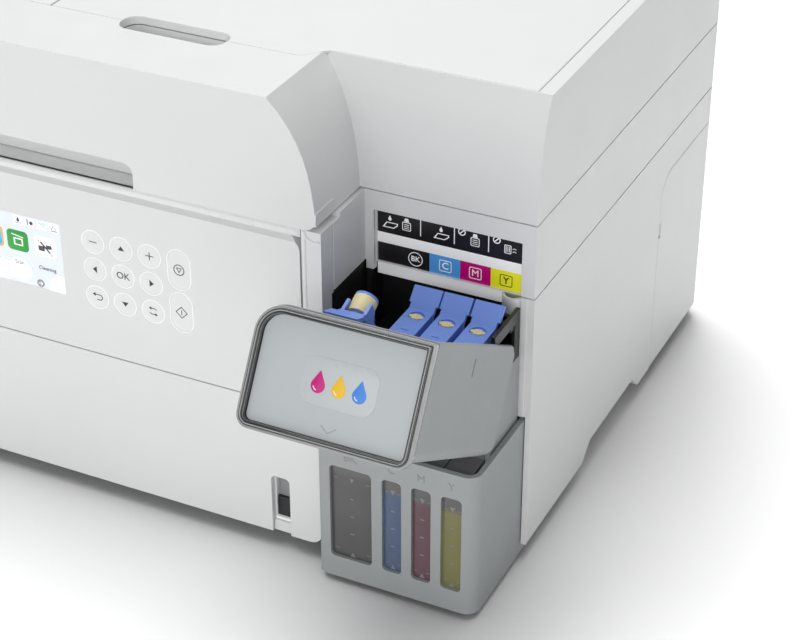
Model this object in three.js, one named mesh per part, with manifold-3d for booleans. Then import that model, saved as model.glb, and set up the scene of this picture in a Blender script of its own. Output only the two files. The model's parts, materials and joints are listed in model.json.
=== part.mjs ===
// A flat-topped ink-tank inkjet printer with a scanner and a document feeder.
// Millimetres, +Z up. The front faces -Y. Working frame: x = 0 on the middle of the case,
// y = 0 on the front plane of the control panel and cassette, z = 0 on the table.
import * as THREE from 'three';
import { mergeVertices } from 'three/addons/utils/BufferGeometryUtils.js';
import Module from 'manifold-3d';

const wasm = await Module();
wasm.setup();

// ---------------------------------------------------------------- driving dimensions
const HALF = 187.5; // half of the overall width
const TOP = 231; // overall height
const REAR = 291; // rear wall plane
const WALL = 2.5; // shell thickness
const SKIRT = 9.2; // lower edge of the side walls
const CORNER = 15; // vertical rear corners
const GAP = 0.4; // clearance between neighbouring pieces
const WING = 41; // front plane of the narrow wing above the ink tanks
const CASE_TOP = 139.6; // top of the lower case
const SCAN_BASE = 140.2; // underside of the scanner unit
const SCAN_TOP = 175.2; // top of the scanner unit
const COVER_BASE = 175.8; // underside of the document cover
const LIP = { rear: 16.9, base: 173.3, corner: 6 }; // the cover's front edge, which hangs lower than its underside
const BEAD_TOP = 172.9; // top of the trim over the control panel
const HINGE_RELIEF = { depth: 1.2, height: 5 }; // chamfer behind each rear hinge line

const TANK = { x: [107, 184.6], y: [-10.2, 95], z: [3.6, 77.6], corner: 6.5 };
const WINDOW_Z = [15, 64.8];
const INKS = [
  { name: 'black', tank: [112.5, 136.6], window: [113.9, 134.4], port: 129.9, tab: [121.4, 137.0] },
  { name: 'cyan', tank: [137.2, 151.1], window: [139.5, 148.9], port: 144.2, tab: [137.5, 150.9] },
  { name: 'magenta', tank: [151.7, 165.4], window: [153.7, 163.1], port: 158.4, tab: [151.7, 165.1] },
  { name: 'yellow', tank: [166.0, 179.1], window: [167.9, 177.7], port: 172.8, tab: [166.1, 179.5] },
];
const PORT_Y = 14.5;
const CAP_PIVOT = { y: -3, z: 130.5 };
const CAP_OPEN = 116; // degrees that an open cap lever is folded forward

const LID = { x: [107.2, 184.4], y: [-10.2, 39.2], z: [80.8, 171.8] };
const LID_PIVOT = { y: -2, z: 93.4 };
const LID_OPEN = 59.6; // degrees that the tank lid stands open
const LID_WALL = 2.2;
const BEZEL = { y: [-12.6, 38.7], z: [172.1, 176.2], width: 3.2 }; // clear rim on top of the lid
const FACE_THICKNESS = 0.9;

const PANEL = { x: [-184.3, 96.6], y: [0, 12], z: [82.6, 168.6] };
const DISPLAY = { x: [-74.3, -25.4], z: [109.7, 146.2] };
const KEY_RADIUS = 5.5;
const KEY_COLUMNS = [-8.2, 6.5, 21.2];
const KEY_ROWS = [141.5, 127.5, 113];
const PILL_X = 36.1;
const PILL_SPANS = [[128.3, 148], [106.5, 126.2]];

const CASSETTE_FRONT = { x: [-184.6, 103.8], y: [0, 3], z: [9.4, 81.9] };
const CASSETTE_BOX = { x: [-158, 100], y: [2.8, 235], z: [13.3, 60] };
const LEVEL_SLOT = { x: [78.3, 87.7], z: [9, 41] };

const RAIL = { y: 128, z: 122, r: 4 };
const FEED = { y: 145, z: 93, r: 5.5 };
const EJECT = { y: 98, z: 93, r: 4 };

// ---------------------------------------------------------------- colours
const LOOKS = {
  shell: { color: 0xeff0f0, roughness: 0.5, metalness: 0 },
  tankGrey: { color: 0xa3a7a9, roughness: 0.5, metalness: 0 },
  frameBlack: { color: 0x1a1b1d, roughness: 0.55, metalness: 0 },
  tankClear: { color: 0x8d9296, roughness: 0.25, metalness: 0 },
  capBlue: { color: 0x5b7fd0, roughness: 0.5, metalness: 0 },
  bezelSmoke: { color: 0x55595b, roughness: 0.15, metalness: 0 },
  faceGrey: { color: 0xbfc4c7, roughness: 0.45, metalness: 0 },
  labelWhite: { color: 0xe4e4e6, roughness: 0.5, metalness: 0 },
  glass: { color: 0x9fb0b4, roughness: 0.05, metalness: 0 },
  screen: { color: 0xdfe6ec, roughness: 0.1, metalness: 0 },
  steel: { color: 0xb4b8ba, roughness: 0.3, metalness: 1 },
  rubber: { color: 0x242424, roughness: 0.9, metalness: 0 },
  mat: { color: 0xf4f4f2, roughness: 0.8, metalness: 0 },
};

// ---------------------------------------------------------------- solid helpers
function toSolid(geometry) {
  geometry.deleteAttribute('normal');
  geometry.deleteAttribute('uv');
  const merged = mergeVertices(geometry, 1e-4);
  return new wasm.Manifold(new wasm.Mesh({
    numProp: 3,
    vertProperties: new Float32Array(merged.attributes.position.array),
    triVerts: new Uint32Array(merged.index.array),
  }));
}

function toGeometry(solid) {
  const mesh = solid.getMesh();
  const geometry = new THREE.BufferGeometry();
  geometry.setAttribute('position', new THREE.BufferAttribute(mesh.vertProperties, 3));
  geometry.setIndex(new THREE.BufferAttribute(mesh.triVerts, 1));
  geometry.computeVertexNormals();
  return geometry;
}

function box(x, y, z) {
  const geometry = new THREE.BoxGeometry(x[1] - x[0], y[1] - y[0], z[1] - z[0]);
  geometry.translate((x[0] + x[1]) / 2, (y[0] + y[1]) / 2, (z[0] + z[1]) / 2);
  return toSolid(geometry);
}

// A rectangle with its own radius at each corner, in the order of increasing angle from the lower left.
function roundedRect(u, v, radii) {
  const [a, b, c, d] = Array.isArray(radii) ? radii : [radii, radii, radii, radii];
  const shape = new THREE.Shape();
  shape.moveTo(u[0] + a, v[0]);
  shape.lineTo(u[1] - b, v[0]);
  if (b) shape.absarc(u[1] - b, v[0] + b, b, -Math.PI / 2, 0, false);
  shape.lineTo(u[1], v[1] - c);
  if (c) shape.absarc(u[1] - c, v[1] - c, c, 0, Math.PI / 2, false);
  shape.lineTo(u[0] + d, v[1]);
  if (d) shape.absarc(u[0] + d, v[1] - d, d, Math.PI / 2, Math.PI, false);
  shape.lineTo(u[0], v[0] + a);
  if (a) shape.absarc(u[0] + a, v[0] + a, a, Math.PI, 1.5 * Math.PI, false);
  return shape;
}

function outline(points) {
  return new THREE.Shape(points.map(([u, v]) => new THREE.Vector2(u, v)));
}

function extruded(shape, depth, segments) {
  return new THREE.ExtrudeGeometry(shape, { depth, bevelEnabled: false, curveSegments: segments });
}

// Extrudes a (y, z) outline along X.
function prismX(shape, x, segments = 5) {
  const geometry = extruded(shape, x[1] - x[0], segments);
  const turn = new THREE.Matrix4().set(0, 0, 1, x[0], 1, 0, 0, 0, 0, 1, 0, 0, 0, 0, 0, 1);
  return toSolid(geometry.applyMatrix4(turn));
}

// Extrudes an (x, z) outline along Y.
function prismY(shape, y, segments = 5) {
  const geometry = extruded(shape, y[1] - y[0], segments);
  const turn = new THREE.Matrix4().set(1, 0, 0, 0, 0, 0, -1, y[1], 0, 1, 0, 0, 0, 0, 0, 1);
  return toSolid(geometry.applyMatrix4(turn));
}

// Extrudes an (x, y) outline along Z.
function prismZ(shape, z, segments = 5) {
  const geometry = extruded(shape, z[1] - z[0], segments);
  geometry.translate(0, 0, z[0]);
  return toSolid(geometry);
}

function rodX(y, z, r, x, sides = 20) {
  const geometry = new THREE.CylinderGeometry(r, r, x[1] - x[0], sides);
  geometry.rotateZ(-Math.PI / 2);
  geometry.translate((x[0] + x[1]) / 2, y, z);
  return toSolid(geometry);
}

function rodY(x, z, r, y, sides = 20) {
  const geometry = new THREE.CylinderGeometry(r, r, y[1] - y[0], sides);
  geometry.translate(x, (y[0] + y[1]) / 2, z);
  return toSolid(geometry);
}

function rodZ(x, y, r, z, sides = 20) {
  const geometry = new THREE.CylinderGeometry(r, r, z[1] - z[0], sides);
  geometry.rotateX(Math.PI / 2);
  geometry.translate(x, y, (z[0] + z[1]) / 2);
  return toSolid(geometry);
}

function join(...solids) {
  return solids.reduce((sum, solid) => sum.add(solid));
}

function cut(solid, ...tools) {
  return tools.reduce((rest, tool) => rest.subtract(tool), solid);
}

function piece(name, solid, look) {
  const mesh = new THREE.Mesh(toGeometry(solid), new THREE.MeshStandardMaterial(LOOKS[look]));
  mesh.name = name;
  return mesh;
}

// A group whose children are given at its closed place and are turned about an X axis by an angle.
function turned(pivot, degrees, ...children) {
  const inner = new THREE.Group();
  inner.position.set(0, -pivot.y, -pivot.z);
  inner.add(...children);
  const outer = new THREE.Group();
  outer.position.set(0, pivot.y, pivot.z);
  outer.rotation.x = THREE.MathUtils.degToRad(degrees);
  outer.add(inner);
  return outer;
}

// ---------------------------------------------------------------- lower case
const CUP = { x: 176.6, y: 44.4, r: 5.2 }; // seat for the scanner unit's support peg
const SCAN_FRONT = 17.6; // front wall of the scanner unit, behind the control panel

function caseRing(z, front) {
  const outer = roundedRect([-HALF, HALF], [front, REAR], [0, 0, CORNER, CORNER]);
  const inside = [-HALF + WALL, HALF - WALL];
  const inner = roundedRect(inside, [front - 1, REAR - WALL], [0, 0, CORNER - WALL, CORNER - WALL]);
  return cut(prismZ(outer, z), prismZ(inner, [z[0] - 1, z[1] + 1]));
}

function handRecess(x) {
  const shape = outline([[111, SKIRT - 1], [190, SKIRT - 1], [187, 11], [180, 17.5], [121, 17.5], [114, 11]]);
  return prismX(shape, x);
}

const MAINTENANCE = { y: 206.5, x: 158, top: 119.8, corner: 14 };

// The corner region that the removable maintenance cover fills, grown by an amount all round.
function maintenanceRegion(grow) {
  const top = MAINTENANCE.top + grow;
  const round = [0, 0, 0, MAINTENANCE.corner + grow];
  const shape = roundedRect([MAINTENANCE.y - grow, REAR + 5], [SKIRT - 5, top], round);
  return prismX(shape, [MAINTENANCE.x - grow, HALF + 5]);
}

function lowerCase() {
  const ring = caseRing([SKIRT, CASE_TOP], 0);
  const floorLeft = box([-HALF + 1, 105.5], [16, REAR - 1], [10, 12.6]);
  const floorRight = box([105, HALF - 1], [97, REAR - 1], [10, 12.6]);
  const floors = join(floorLeft, floorRight).intersect(
    prismZ(roundedRect([-HALF, HALF], [0, REAR], [0, 0, CORNER, CORNER]), [0, 20]),
  );
  const pillar = join(
    box([97.2, 106.6], [0.6, 9.5], [82.6, CASE_TOP]),
    box([97.2, 103.8], [0.6, 20], [100, CASE_TOP]),
    box([97.2, 106.6], [0.6, 11], [CASE_TOP - 0.3, BEAD_TOP]),
  );
  const leftPost = box([-HALF, -HALF + WALL], [0, SCAN_FRONT - 0.5], [CASE_TOP - 0.3, PANEL.z[1]]);
  const beam = box([-HALF + 1, 103.8], [17, 21], [126, CASE_TOP]);
  const rib = box([181.2, HALF - 1], [40.6, 44.6], [79, CASE_TOP]);
  const cup = rodZ(CUP.x, CUP.y, CUP.r, [125.5, 138.9]);
  const web = box([CUP.x, 182], [42.5, 44.5], [120, 138.9]);
  const solid = cut(
    join(ring, floors, pillar, leftPost, beam, rib, cup, web),
    rodZ(CUP.x, CUP.y, CUP.r - 1.1, [127.5, 141]),
    box([HALF - WALL - 1, HALF + 1], [-1, WING], [0, 200]),
    handRecess([HALF - WALL - 2, HALF + 1]),
    handRecess([-HALF - 1, -HALF + WALL + 2]),
    maintenanceRegion(GAP),
    box([-150, 90], [REAR - WALL - 1, REAR + 1], [28, 126]),
    box([-179, -155], [275, REAR + 1], [30, 46]),
  );
  return piece('lower_case', solid, 'shell');
}

function maintenanceCover() {
  const skin = caseRing([SKIRT + 0.4, CASE_TOP], 0).intersect(maintenanceRegion(0));
  const latch = box([HALF - WALL - 4, HALF - WALL + 1], [212, 222], [98, 104]);
  const notch = box([HALF - 1, HALF + 1], [205, 209.5], [86, 94]);
  return piece('maintenance_cover', cut(join(skin, latch), notch), 'shell');
}

function innerFrame() {
  const deck = box([-160, 104.5], [30, 275], [78.4, 81.4]);
  const partition = box([104.2, 106.5], [9.9, 95.5], [13, 138.9]);
  return piece('inner_frame', join(deck, partition), 'frameBlack');
}

function maintenanceBox() {
  const body = box([112, 166], [208, 282], [13, 72]);
  const lip = box([166, 178], [214, 276], [60, 72]);
  const pad = box([118, 160], [214, 276], [58, 73]);
  return piece('maintenance_box', cut(join(body, lip), pad), 'tankClear');
}

function powerInlet() {
  const block = box([-178.6, -155.4], [277, REAR - 0.3], [30.4, 45.6]);
  const socket = box([-175.4, -158.6], [281, REAR + 1], [33.4, 42.6]);
  const pins = join(rodY(-170.5, 38, 1.2, [280, 286], 10), rodY(-163.5, 38, 1.2, [280, 286], 10));
  return piece('power_inlet', join(cut(block, socket), pins), 'frameBlack');
}

function feet() {
  const places = { front_left: [-165, 40], front_right: [85, 40], rear_left: [-165, 265], rear_right: [150, 265] };
  return Object.entries(places).map(([where, [x, y]]) => {
    const profile = [[0, 0], [6.6, 0], [7.4, 0.8], [7.4, 9.7], [0, 9.7]];
    const geometry = new THREE.LatheGeometry(profile.map(([r, z]) => new THREE.Vector2(r, z)), 20);
    geometry.rotateX(Math.PI / 2);
    geometry.translate(x, y, 0);
    return piece(`foot_${where}`, toSolid(geometry), 'rubber');
  });
}

// ---------------------------------------------------------------- ink tanks
function tankHousing() {
  const front = [TANK.corner - 2, TANK.corner, 0, 0];
  const outer = prismZ(roundedRect(TANK.x, TANK.y, front), TANK.z);
  const insideX = [TANK.x[0] + 2.4, TANK.x[1] - 2.4];
  const insideY = [TANK.y[0] + 2.6, TANK.y[1] - 2.4];
  const inner = prismZ(roundedRect(insideX, insideY, [2, 4, 0, 0]), [TANK.z[0] + 2.6, 100]);
  const windows = INKS.map((ink) => prismY(roundedRect(ink.window, WINDOW_Z, 2.2), [-12, -6], 3));
  const cheekShape = outline([
    [-2, 98.6], [-6.2, 96.6], [-7.2, 93.4], [-5.4, 89.6], [-2, 88.2], [3.5, 88.2], [10, 79], [10, 60],
    [40, 60], [40, 111.5], [8, 111.5],
  ]);
  const cheekPlaces = [[109.9, 112.1], [179.5, 181.7]];
  const cheeks = cheekPlaces.map((x) => prismX(cheekShape, x));
  const roots = [box([109, 112.1], [10, 40], [60, 75]), box([179.5, 182.6], [10, 40], [60, 75])];
  const bosses = [
    rodX(LID_PIVOT.y, LID_PIVOT.z, 2.2, [108.5, 111], 16),
    rodX(LID_PIVOT.y, LID_PIVOT.z, 2.2, [180.6, 183.1], 16),
  ];
  return piece('tank_housing', join(cut(outer, inner, ...windows), ...cheeks, ...roots, ...bosses), 'tankGrey');
}

function inkTank(ink) {
  const inset = 1.3;
  const lower = { y: [-7.2, 90], z: [6.7, 74] };
  const upper = { y: [10.5, 90], z: [73, 104] };
  const shrink = ([a, b]) => [a + inset, b - inset];
  const hollow = join(
    box(shrink(ink.tank), shrink(lower.y), [lower.z[0] + inset, lower.z[1] - inset]),
    box(shrink(ink.tank), shrink(upper.y), [lower.z[1] - 5, upper.z[1] - inset]),
  );
  const solid = cut(
    join(box(ink.tank, lower.y, lower.z), box(ink.tank, upper.y, upper.z), rodZ(ink.port, PORT_Y, 4.2, [103, 120.8], 18)),
    hollow,
    rodZ(ink.port, PORT_Y, 3.3, [99, 122], 16),
  );
  return piece(`ink_tank_${ink.name}`, solid, 'tankClear');
}

function portBlock() {
  const plate = box([112.6, 179.0], [10.6, 88], [104.5, 108.5]);
  const backWall = box([107.4, 184.4], [52.2, 54.4], [104.5, 139.2]);
  const sideWall = box([107.4, 109.6], [41, 53], [104.5, 135.6]);
  const collars = INKS.map((ink) => rodZ(ink.port, PORT_Y, 6, [108, 121.4], 20));
  const bores = INKS.map((ink) => rodZ(ink.port, PORT_Y, 4.7, [100, 123], 18));
  const armShape = outline([
    [10.6, 104.5], [24, 104.5], [24, 110], [10, 119], [1, 131.5], [-1.5, 133.2], [-4.5, 133.2], [-5.8, 131],
    [-5.8, 128.4], [-1, 120], [4, 111.5],
  ]);
  const armPlaces = [[121.6, 123.6], [136.15, 137.95], [150.45, 152.15], [164.65, 166.55]];
  const arms = armPlaces.map((x) => prismX(armShape, x));
  const pin = rodX(CAP_PIVOT.y, CAP_PIVOT.z, 1.2, [121.6, 178.4], 12);
  return piece('port_block', join(cut(join(plate, backWall, sideWall, ...collars), ...bores), ...arms, pin), 'frameBlack');
}

function lidCatch() {
  const post = box([179.9, 181.8], [12, 39], [111.9, 136]);
  const slot = box([179, 183], [17, 34], [117, 130]);
  const ledge = box([172.5, 181], [31, 39], [127, 131.5]);
  const pocket = box([174.5, 179], [33, 37], [129, 133]);
  return piece('lid_catch', cut(join(cut(post, slot), ledge), pocket), 'frameBlack');
}

// A cap lever at its closed place: a plate with a lifted tab, two skirts with hubs, and the plug below.
function capLever(ink) {
  const half = 5.8;
  const body = [ink.port - half, ink.port + half];
  const plate = prismX(outline([
    [-5, 135.2], [19.8, 135.2], [27.4, 142.4], [28.7, 141.1], [20.5, 133.4], [-5, 133.4],
  ]), body);
  const tab = prismX(outline([[21.8, 137.1], [27.4, 142.4], [28.7, 141.1], [23.1, 135.8]]), ink.tab);
  const skirtShape = outline([
    [-5, 134.2], [-6.2, 132.5], [-6.2, 129], [-4.6, 127.3], [-1.4, 127.3], [10, 130.4], [14.2, 127.2],
    [19.4, 127.2], [20.4, 134.4],
  ]);
  const skirts = [prismX(skirtShape, [body[0], body[0] + 1.4]), prismX(skirtShape, [body[1] - 1.4, body[1]])];
  const hub = prismX(outline([[-5, 134.2], [-6.2, 132.5], [-6.2, 129], [-3, 127.3], [0, 128], [0.4, 134]]), body);
  const plug = join(
    rodZ(ink.port, PORT_Y, 5.2, [122, 131.2], 24),
    rodZ(ink.port, PORT_Y, 4.1, [131, 133.9], 20),
  );
  const solid = cut(
    join(plate, tab, ...skirts, hub, plug),
    rodX(CAP_PIVOT.y, CAP_PIVOT.z, 1.55, [body[0] - 1, body[1] + 1], 12),
    rodZ(ink.port, PORT_Y, 3.7, [134.2, 137], 20),
  );
  return piece(`cap_lever_${ink.name}`, solid, 'capBlue');
}

// ---------------------------------------------------------------- tank lid, at its closed place
const LID_RADII = [6, 6, 1, 12];

function lidHood() {
  const outer = prismZ(roundedRect(LID.x, LID.y, LID_RADII), LID.z);
  const insideX = [LID.x[0] + LID_WALL, LID.x[1] - LID_WALL];
  const hollow = prismZ(roundedRect(insideX, [LID.y[0] + LID_WALL, 70], [1, 1, 0, 0]), [60, LID.z[1] - LID_WALL]);
  const sockets = [
    rodX(LID_PIVOT.y, LID_PIVOT.z, 2.6, [LID.x[0] + 0.8, LID.x[0] + 4], 16),
    rodX(LID_PIVOT.y, LID_PIVOT.z, 2.6, [LID.x[1] - 4, LID.x[1] - 0.8], 16),
  ];
  const gripMark = box([LID.x[1] - 0.5, LID.x[1] + 1], [25.6, 33.2], [127, 128.2]);
  const [heelY, heelZ] = [LID.y[1], LID.z[0]];
  const heelShape = outline([[heelY - 5, heelZ - 1], [heelY + 1, heelZ - 1], [heelY + 1, heelZ + 5]]);
  const heel = prismX(heelShape, [LID.x[0] - 1, LID.x[1] + 1]); // swings clear of the rib behind it
  return piece('lid_hood', cut(outer, hollow, ...sockets, gripMark, heel), 'tankGrey');
}

// Outline of the clear rim, pulled in all round by an inset.
function bezelPlan(inset) {
  const radii = LID_RADII.map((r) => Math.max(r - inset, 0.6));
  return roundedRect(
    [LID.x[0] + inset, LID.x[1] - inset],
    [BEZEL.y[0] + inset, BEZEL.y[1] - inset],
    radii,
  );
}

function lidBezel() {
  const outer = prismZ(bezelPlan(0), BEZEL.z, 7);
  const opening = prismZ(bezelPlan(BEZEL.width), [BEZEL.z[0] - 1, BEZEL.z[1] + 1], 6);
  return piece('lid_bezel', cut(outer, opening), 'bezelSmoke');
}

function lidFace() {
  const z = [BEZEL.z[0], BEZEL.z[0] + FACE_THICKNESS];
  return piece('lid_face', prismZ(bezelPlan(BEZEL.width + 0.3), z, 6), 'faceGrey');
}

// ---------------------------------------------------------------- scanner unit
const GLASS = { x: [-150.3, 150.3], y: [54.7, 275.3], z: [172.1, 174.6] };
const LABEL = { x: [111.4, 180.6], y: [44, 46], z: [133, 165.6] };

function hingeRelief(base) {
  const front = REAR - HINGE_RELIEF.depth;
  const shape = outline([[front, base - 1], [REAR + 1, base - 1], [REAR + 1, base + HINGE_RELIEF.height], [front, base]]);
  return prismX(shape, [-HALF - 1, HALF + 1]);
}

function scannerCase() {
  const plan = roundedRect([-HALF, HALF], [SCAN_FRONT, REAR], [0, 0, CORNER, CORNER]);
  const block = prismZ(plan, [SCAN_BASE, SCAN_TOP]);
  const bay = box([106.9, HALF + 1], [0, WING], [SCAN_BASE - 1, SCAN_TOP + 1]);
  const behindLeft = box([-HALF + WALL, 104.4], [SCAN_FRONT + WALL, REAR - 12], [SCAN_BASE + WALL, 169.5]);
  const behindRight = box([100, HALF - WALL], [48.8, REAR - 12], [SCAN_BASE + WALL, 169.5]);
  const labelPocket = box([LABEL.x[0] - 0.3, LABEL.x[1] + 0.3], [WING - 1, LABEL.y[1] + 0.3], [130, LABEL.z[1] + 0.3]);
  const glassSeat = box([GLASS.x[0] - 0.3, GLASS.x[1] + 0.3], [GLASS.y[0] - 0.3, GLASS.y[1] + 0.3], [GLASS.z[0] - 0.3, 180]);
  const glassHole = box([GLASS.x[0] + 3, GLASS.x[1] - 3], [GLASS.y[0] + 3, GLASS.y[1] - 3], [160, 180]);
  const sideLip = box([107.3, 111.1], [WING, 44], [136, SCAN_BASE + 2]);
  const bead = box([-HALF, 96.8], [0.6, 20], [PANEL.z[1] + GAP, BEAD_TOP]);
  const bayCheek = box([102, 106.9], [11.4, 20], [SCAN_BASE, BEAD_TOP]);
  const solid = cut(
    join(cut(block, bay, behindLeft, behindRight), sideLip, bead, bayCheek),
    labelPocket,
    glassSeat,
    glassHole,
    hingeRelief(SCAN_BASE),
  );
  return piece('scanner_case', solid, 'shell');
}

function labelPlate() {
  const plate = box(LABEL.x, LABEL.y, LABEL.z);
  const step = box([171, LABEL.x[1] + 1], [LABEL.y[0] - 1, LABEL.y[1] + 1], [LABEL.z[0] - 1, 139.7]);
  return piece('label_plate', cut(plate, step), 'labelWhite');
}

function scanRail() {
  return piece('scan_rail', rodX(165, 151, 3, [-184.5, 184.5], 16), 'steel');
}

function scanBar() {
  const bar = box([-172, -154], [60, 270], [148, 167]);
  const slot = box([-169, -157], [63, 267], [165.5, 168]);
  return piece('scan_bar', cut(bar, slot, rodX(165, 151, 3.4, [-175, -150], 16)), 'frameBlack');
}

// ---------------------------------------------------------------- document cover and feeder
const POCKET = { x: [-185, 181.2], y: [42, 259.8] };
const WING_LEDGE = 53.2; // front edge of the feeder lids above the wing
const LID_SPLIT = -49.5; // seam between the feeder cover and the input tray
const FEEDER_AXIS = { x: -92, z: 203 };

function coverShell() {
  const wingFront = new THREE.Shape();
  wingFront.moveTo(WING, COVER_BASE);
  wingFront.bezierCurveTo(WING + 0.5, 200, WING + 2.5, 217, 52.5, TOP);
  wingFront.lineTo(REAR, TOP);
  wingFront.lineTo(REAR, COVER_BASE);
  const plan = roundedRect([-HALF, HALF], [0, REAR], [0, 0, CORNER, CORNER]);
  const main = prismX(wingFront, [-HALF, HALF], 8).intersect(prismZ(plan, [COVER_BASE - 1, TOP + 1]));
  const brow = new THREE.Shape();
  brow.moveTo(-HALF, COVER_BASE);
  brow.lineTo(104.8, COVER_BASE);
  brow.bezierCurveTo(103.2, 200, 99, 216, 83, TOP);
  brow.lineTo(-HALF, TOP);
  const lipShape = roundedRect([-HALF, 104.8], [LIP.base, COVER_BASE + LIP.corner], [0, LIP.corner, 0, 0]);
  const front = join(prismY(brow, [0, 60], 8), prismY(lipShape, [0, LIP.rear], 6));
  const pocket = box(POCKET.x, [54.8, POCKET.y[1]], [179, TOP + 1]);
  const ledge = prismZ(feederPlan(0, POCKET.x), [226.6, TOP + 1]);
  const coverLedge = prismZ(feederPlan(0, [POCKET.x[0], LID_SPLIT]), [223.6, TOP + 1]);
  const frontHollow = join(
    box([-HALF + WALL, 78], [2.8, 39], [170, TOP - 3]),
    box([-HALF + WALL, 78], [38, 52], [170, 220]),
  );
  const rearHollow = box([-HALF + WALL, HALF - WALL], [263, 281], [170, TOP - 3]);
  const slotBlock = box([-15, 44.5], [31, 54], [219, TOP]);
  const scoopBlock = box([-80, 19], [1, LIP.rear - 0.4], [LIP.base, 189]);
  const scoop = prismY(roundedRect([-76, 15.6], [170, 185.4], [0, 0, 5, 5]), [-1, 12]);
  const posts = [[58, 62], [244, 248]].map((y) => box([-99, -85], y, [178, 212]));
  const hollowed = cut(join(main, front), pocket, frontHollow, rearHollow);
  const solid = cut(
    join(hollowed, slotBlock, scoopBlock, ...posts),
    ledge,
    coverLedge,
    scoop,
    rodY(FEEDER_AXIS.x, FEEDER_AXIS.z, 3.4, [56, 250], 16),
    fingerSlot(),
    hingeRelief(COVER_BASE),
  );
  return piece('cover_shell', solid, 'shell');
}

// Plan of the recess for the feeder lids: its front edge steps back where the wing begins.
function feederPlan(inset, [left, right]) {
  const [front, rear] = [POCKET.y[0] + inset, POCKET.y[1] - inset];
  const wing = WING_LEDGE + inset;
  const shape = new THREE.Shape();
  shape.moveTo(left + inset, front);
  if (right > 100) {
    shape.lineTo(74, front);
    shape.bezierCurveTo(81, front, 80, wing, 90, wing);
    shape.lineTo(right - inset, wing);
  } else {
    shape.lineTo(right - inset, front);
  }
  shape.lineTo(right - inset, rear);
  shape.lineTo(left + inset, rear);
  return shape;
}

function fingerSlot() {
  return prismZ(roundedRect([-11.5, 41], [34.6, 49.4], 6.4), [222, TOP + 1], 6);
}

function documentMat() {
  const x = [GLASS.x[0] + 1.3, GLASS.x[1] - 1.3];
  const y = [GLASS.y[0] + 1.3, GLASS.y[1] - 1.3];
  return piece('document_mat', box(x, y, [174.9, COVER_BASE - 0.3]), 'mat');
}

function adfCover() {
  const solid = cut(
    prismZ(feederPlan(GAP, [POCKET.x[0], LID_SPLIT]), [224, TOP]),
    box([-181, -52], [POCKET.y[0] + 4, POCKET.y[1] - 4], [223, TOP - 2.6]),
  );
  return piece('adf_cover', solid, 'shell');
}

function adfInputTray() {
  const plate = prismZ(feederPlan(GAP, [LID_SPLIT, POCKET.x[1]]), [227, TOP]);
  const ribs = [70, 110, 150, 190, 230].map((y) => box([-30, 170], [y - 0.8, y + 0.8], [224.5, 227.5]));
  return piece('adf_input_tray', cut(join(plate, ...ribs), fingerSlot()), 'shell');
}

function adfDeck() {
  const deckY = [56, 256];
  const plate = box([-62, 178], deckY, [205, 208]);
  const walls = [box([-62, -59.5], deckY, [179.4, 206]), box([175.5, 178], deckY, [179.4, 206])];
  return piece('adf_deck', join(plate, ...walls), 'shell');
}

function adfGuide(where, y) {
  const upright = box([-40, 30], [y - 1.2, y + 1.2], [208.4, 221]);
  const toe = box([-40, 30], where === 'front' ? [y, y + 12] : [y - 12, y], [208.4, 210]);
  return piece(`adf_guide_${where}`, join(upright, toe), 'frameBlack');
}

function adfFeedRoller() {
  const shaft = rodY(FEEDER_AXIS.x, FEEDER_AXIS.z, 3, [57, 249], 16);
  const tyres = [[110, 140], [166, 196]].map((y) => rodY(FEEDER_AXIS.x, FEEDER_AXIS.z, 9, y, 24));
  return piece('adf_feed_roller', join(shaft, ...tyres), 'rubber');
}

// ---------------------------------------------------------------- control panel
function panelHousing() {
  const body = prismY(roundedRect(PANEL.x, PANEL.z, [2, 3, 7, 3]), PANEL.y, 5);
  const hollow = box([PANEL.x[0] + 2.3, PANEL.x[1] - 2.3], [2.2, 20], [PANEL.z[0] + 2.4, PANEL.z[1] - 6.4]);
  const screen = box([DISPLAY.x[0] - 0.3, DISPLAY.x[1] + 0.3], [-1, 3], [DISPLAY.z[0] - 0.3, DISPLAY.z[1] + 0.3]);
  const holes = keyPlaces().map((key) => prismY(keyOutline(key, 0.35), [-1, 3], 4));
  const top = PANEL.z[1];
  const topEdge = prismX(outline([[-1, top + 1], [-1, top - 3.2], [3.2, top + 1]]), [-HALF, HALF]);
  return piece('panel_housing', cut(body, hollow, screen, topEdge, ...holes), 'shell');
}

function keyPlaces() {
  const names = [
    ['minus', 'up', 'plus'],
    ['left', 'ok', 'right'],
    ['back', 'down', 'help'],
  ];
  const keys = [];
  KEY_ROWS.forEach((z, row) => KEY_COLUMNS.forEach((x, column) => {
    keys.push({ name: names[row][column], x, z: [z - KEY_RADIUS, z + KEY_RADIUS] });
  }));
  PILL_SPANS.forEach((z, i) => keys.push({ name: ['stop', 'start'][i], x: PILL_X, z }));
  return keys;
}

function keyOutline(key, grow) {
  const r = KEY_RADIUS + grow;
  return roundedRect([key.x - r, key.x + r], [key.z[0] - grow, key.z[1] + grow], r - 0.001);
}

function keyButton(key) {
  return piece(`button_${key.name}`, prismY(keyOutline(key, 0), [0.05, 3.4], 4), 'shell');
}

function displayScreen() {
  return piece('display_screen', box(DISPLAY.x, [0.15, 5], DISPLAY.z), 'screen');
}

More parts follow.
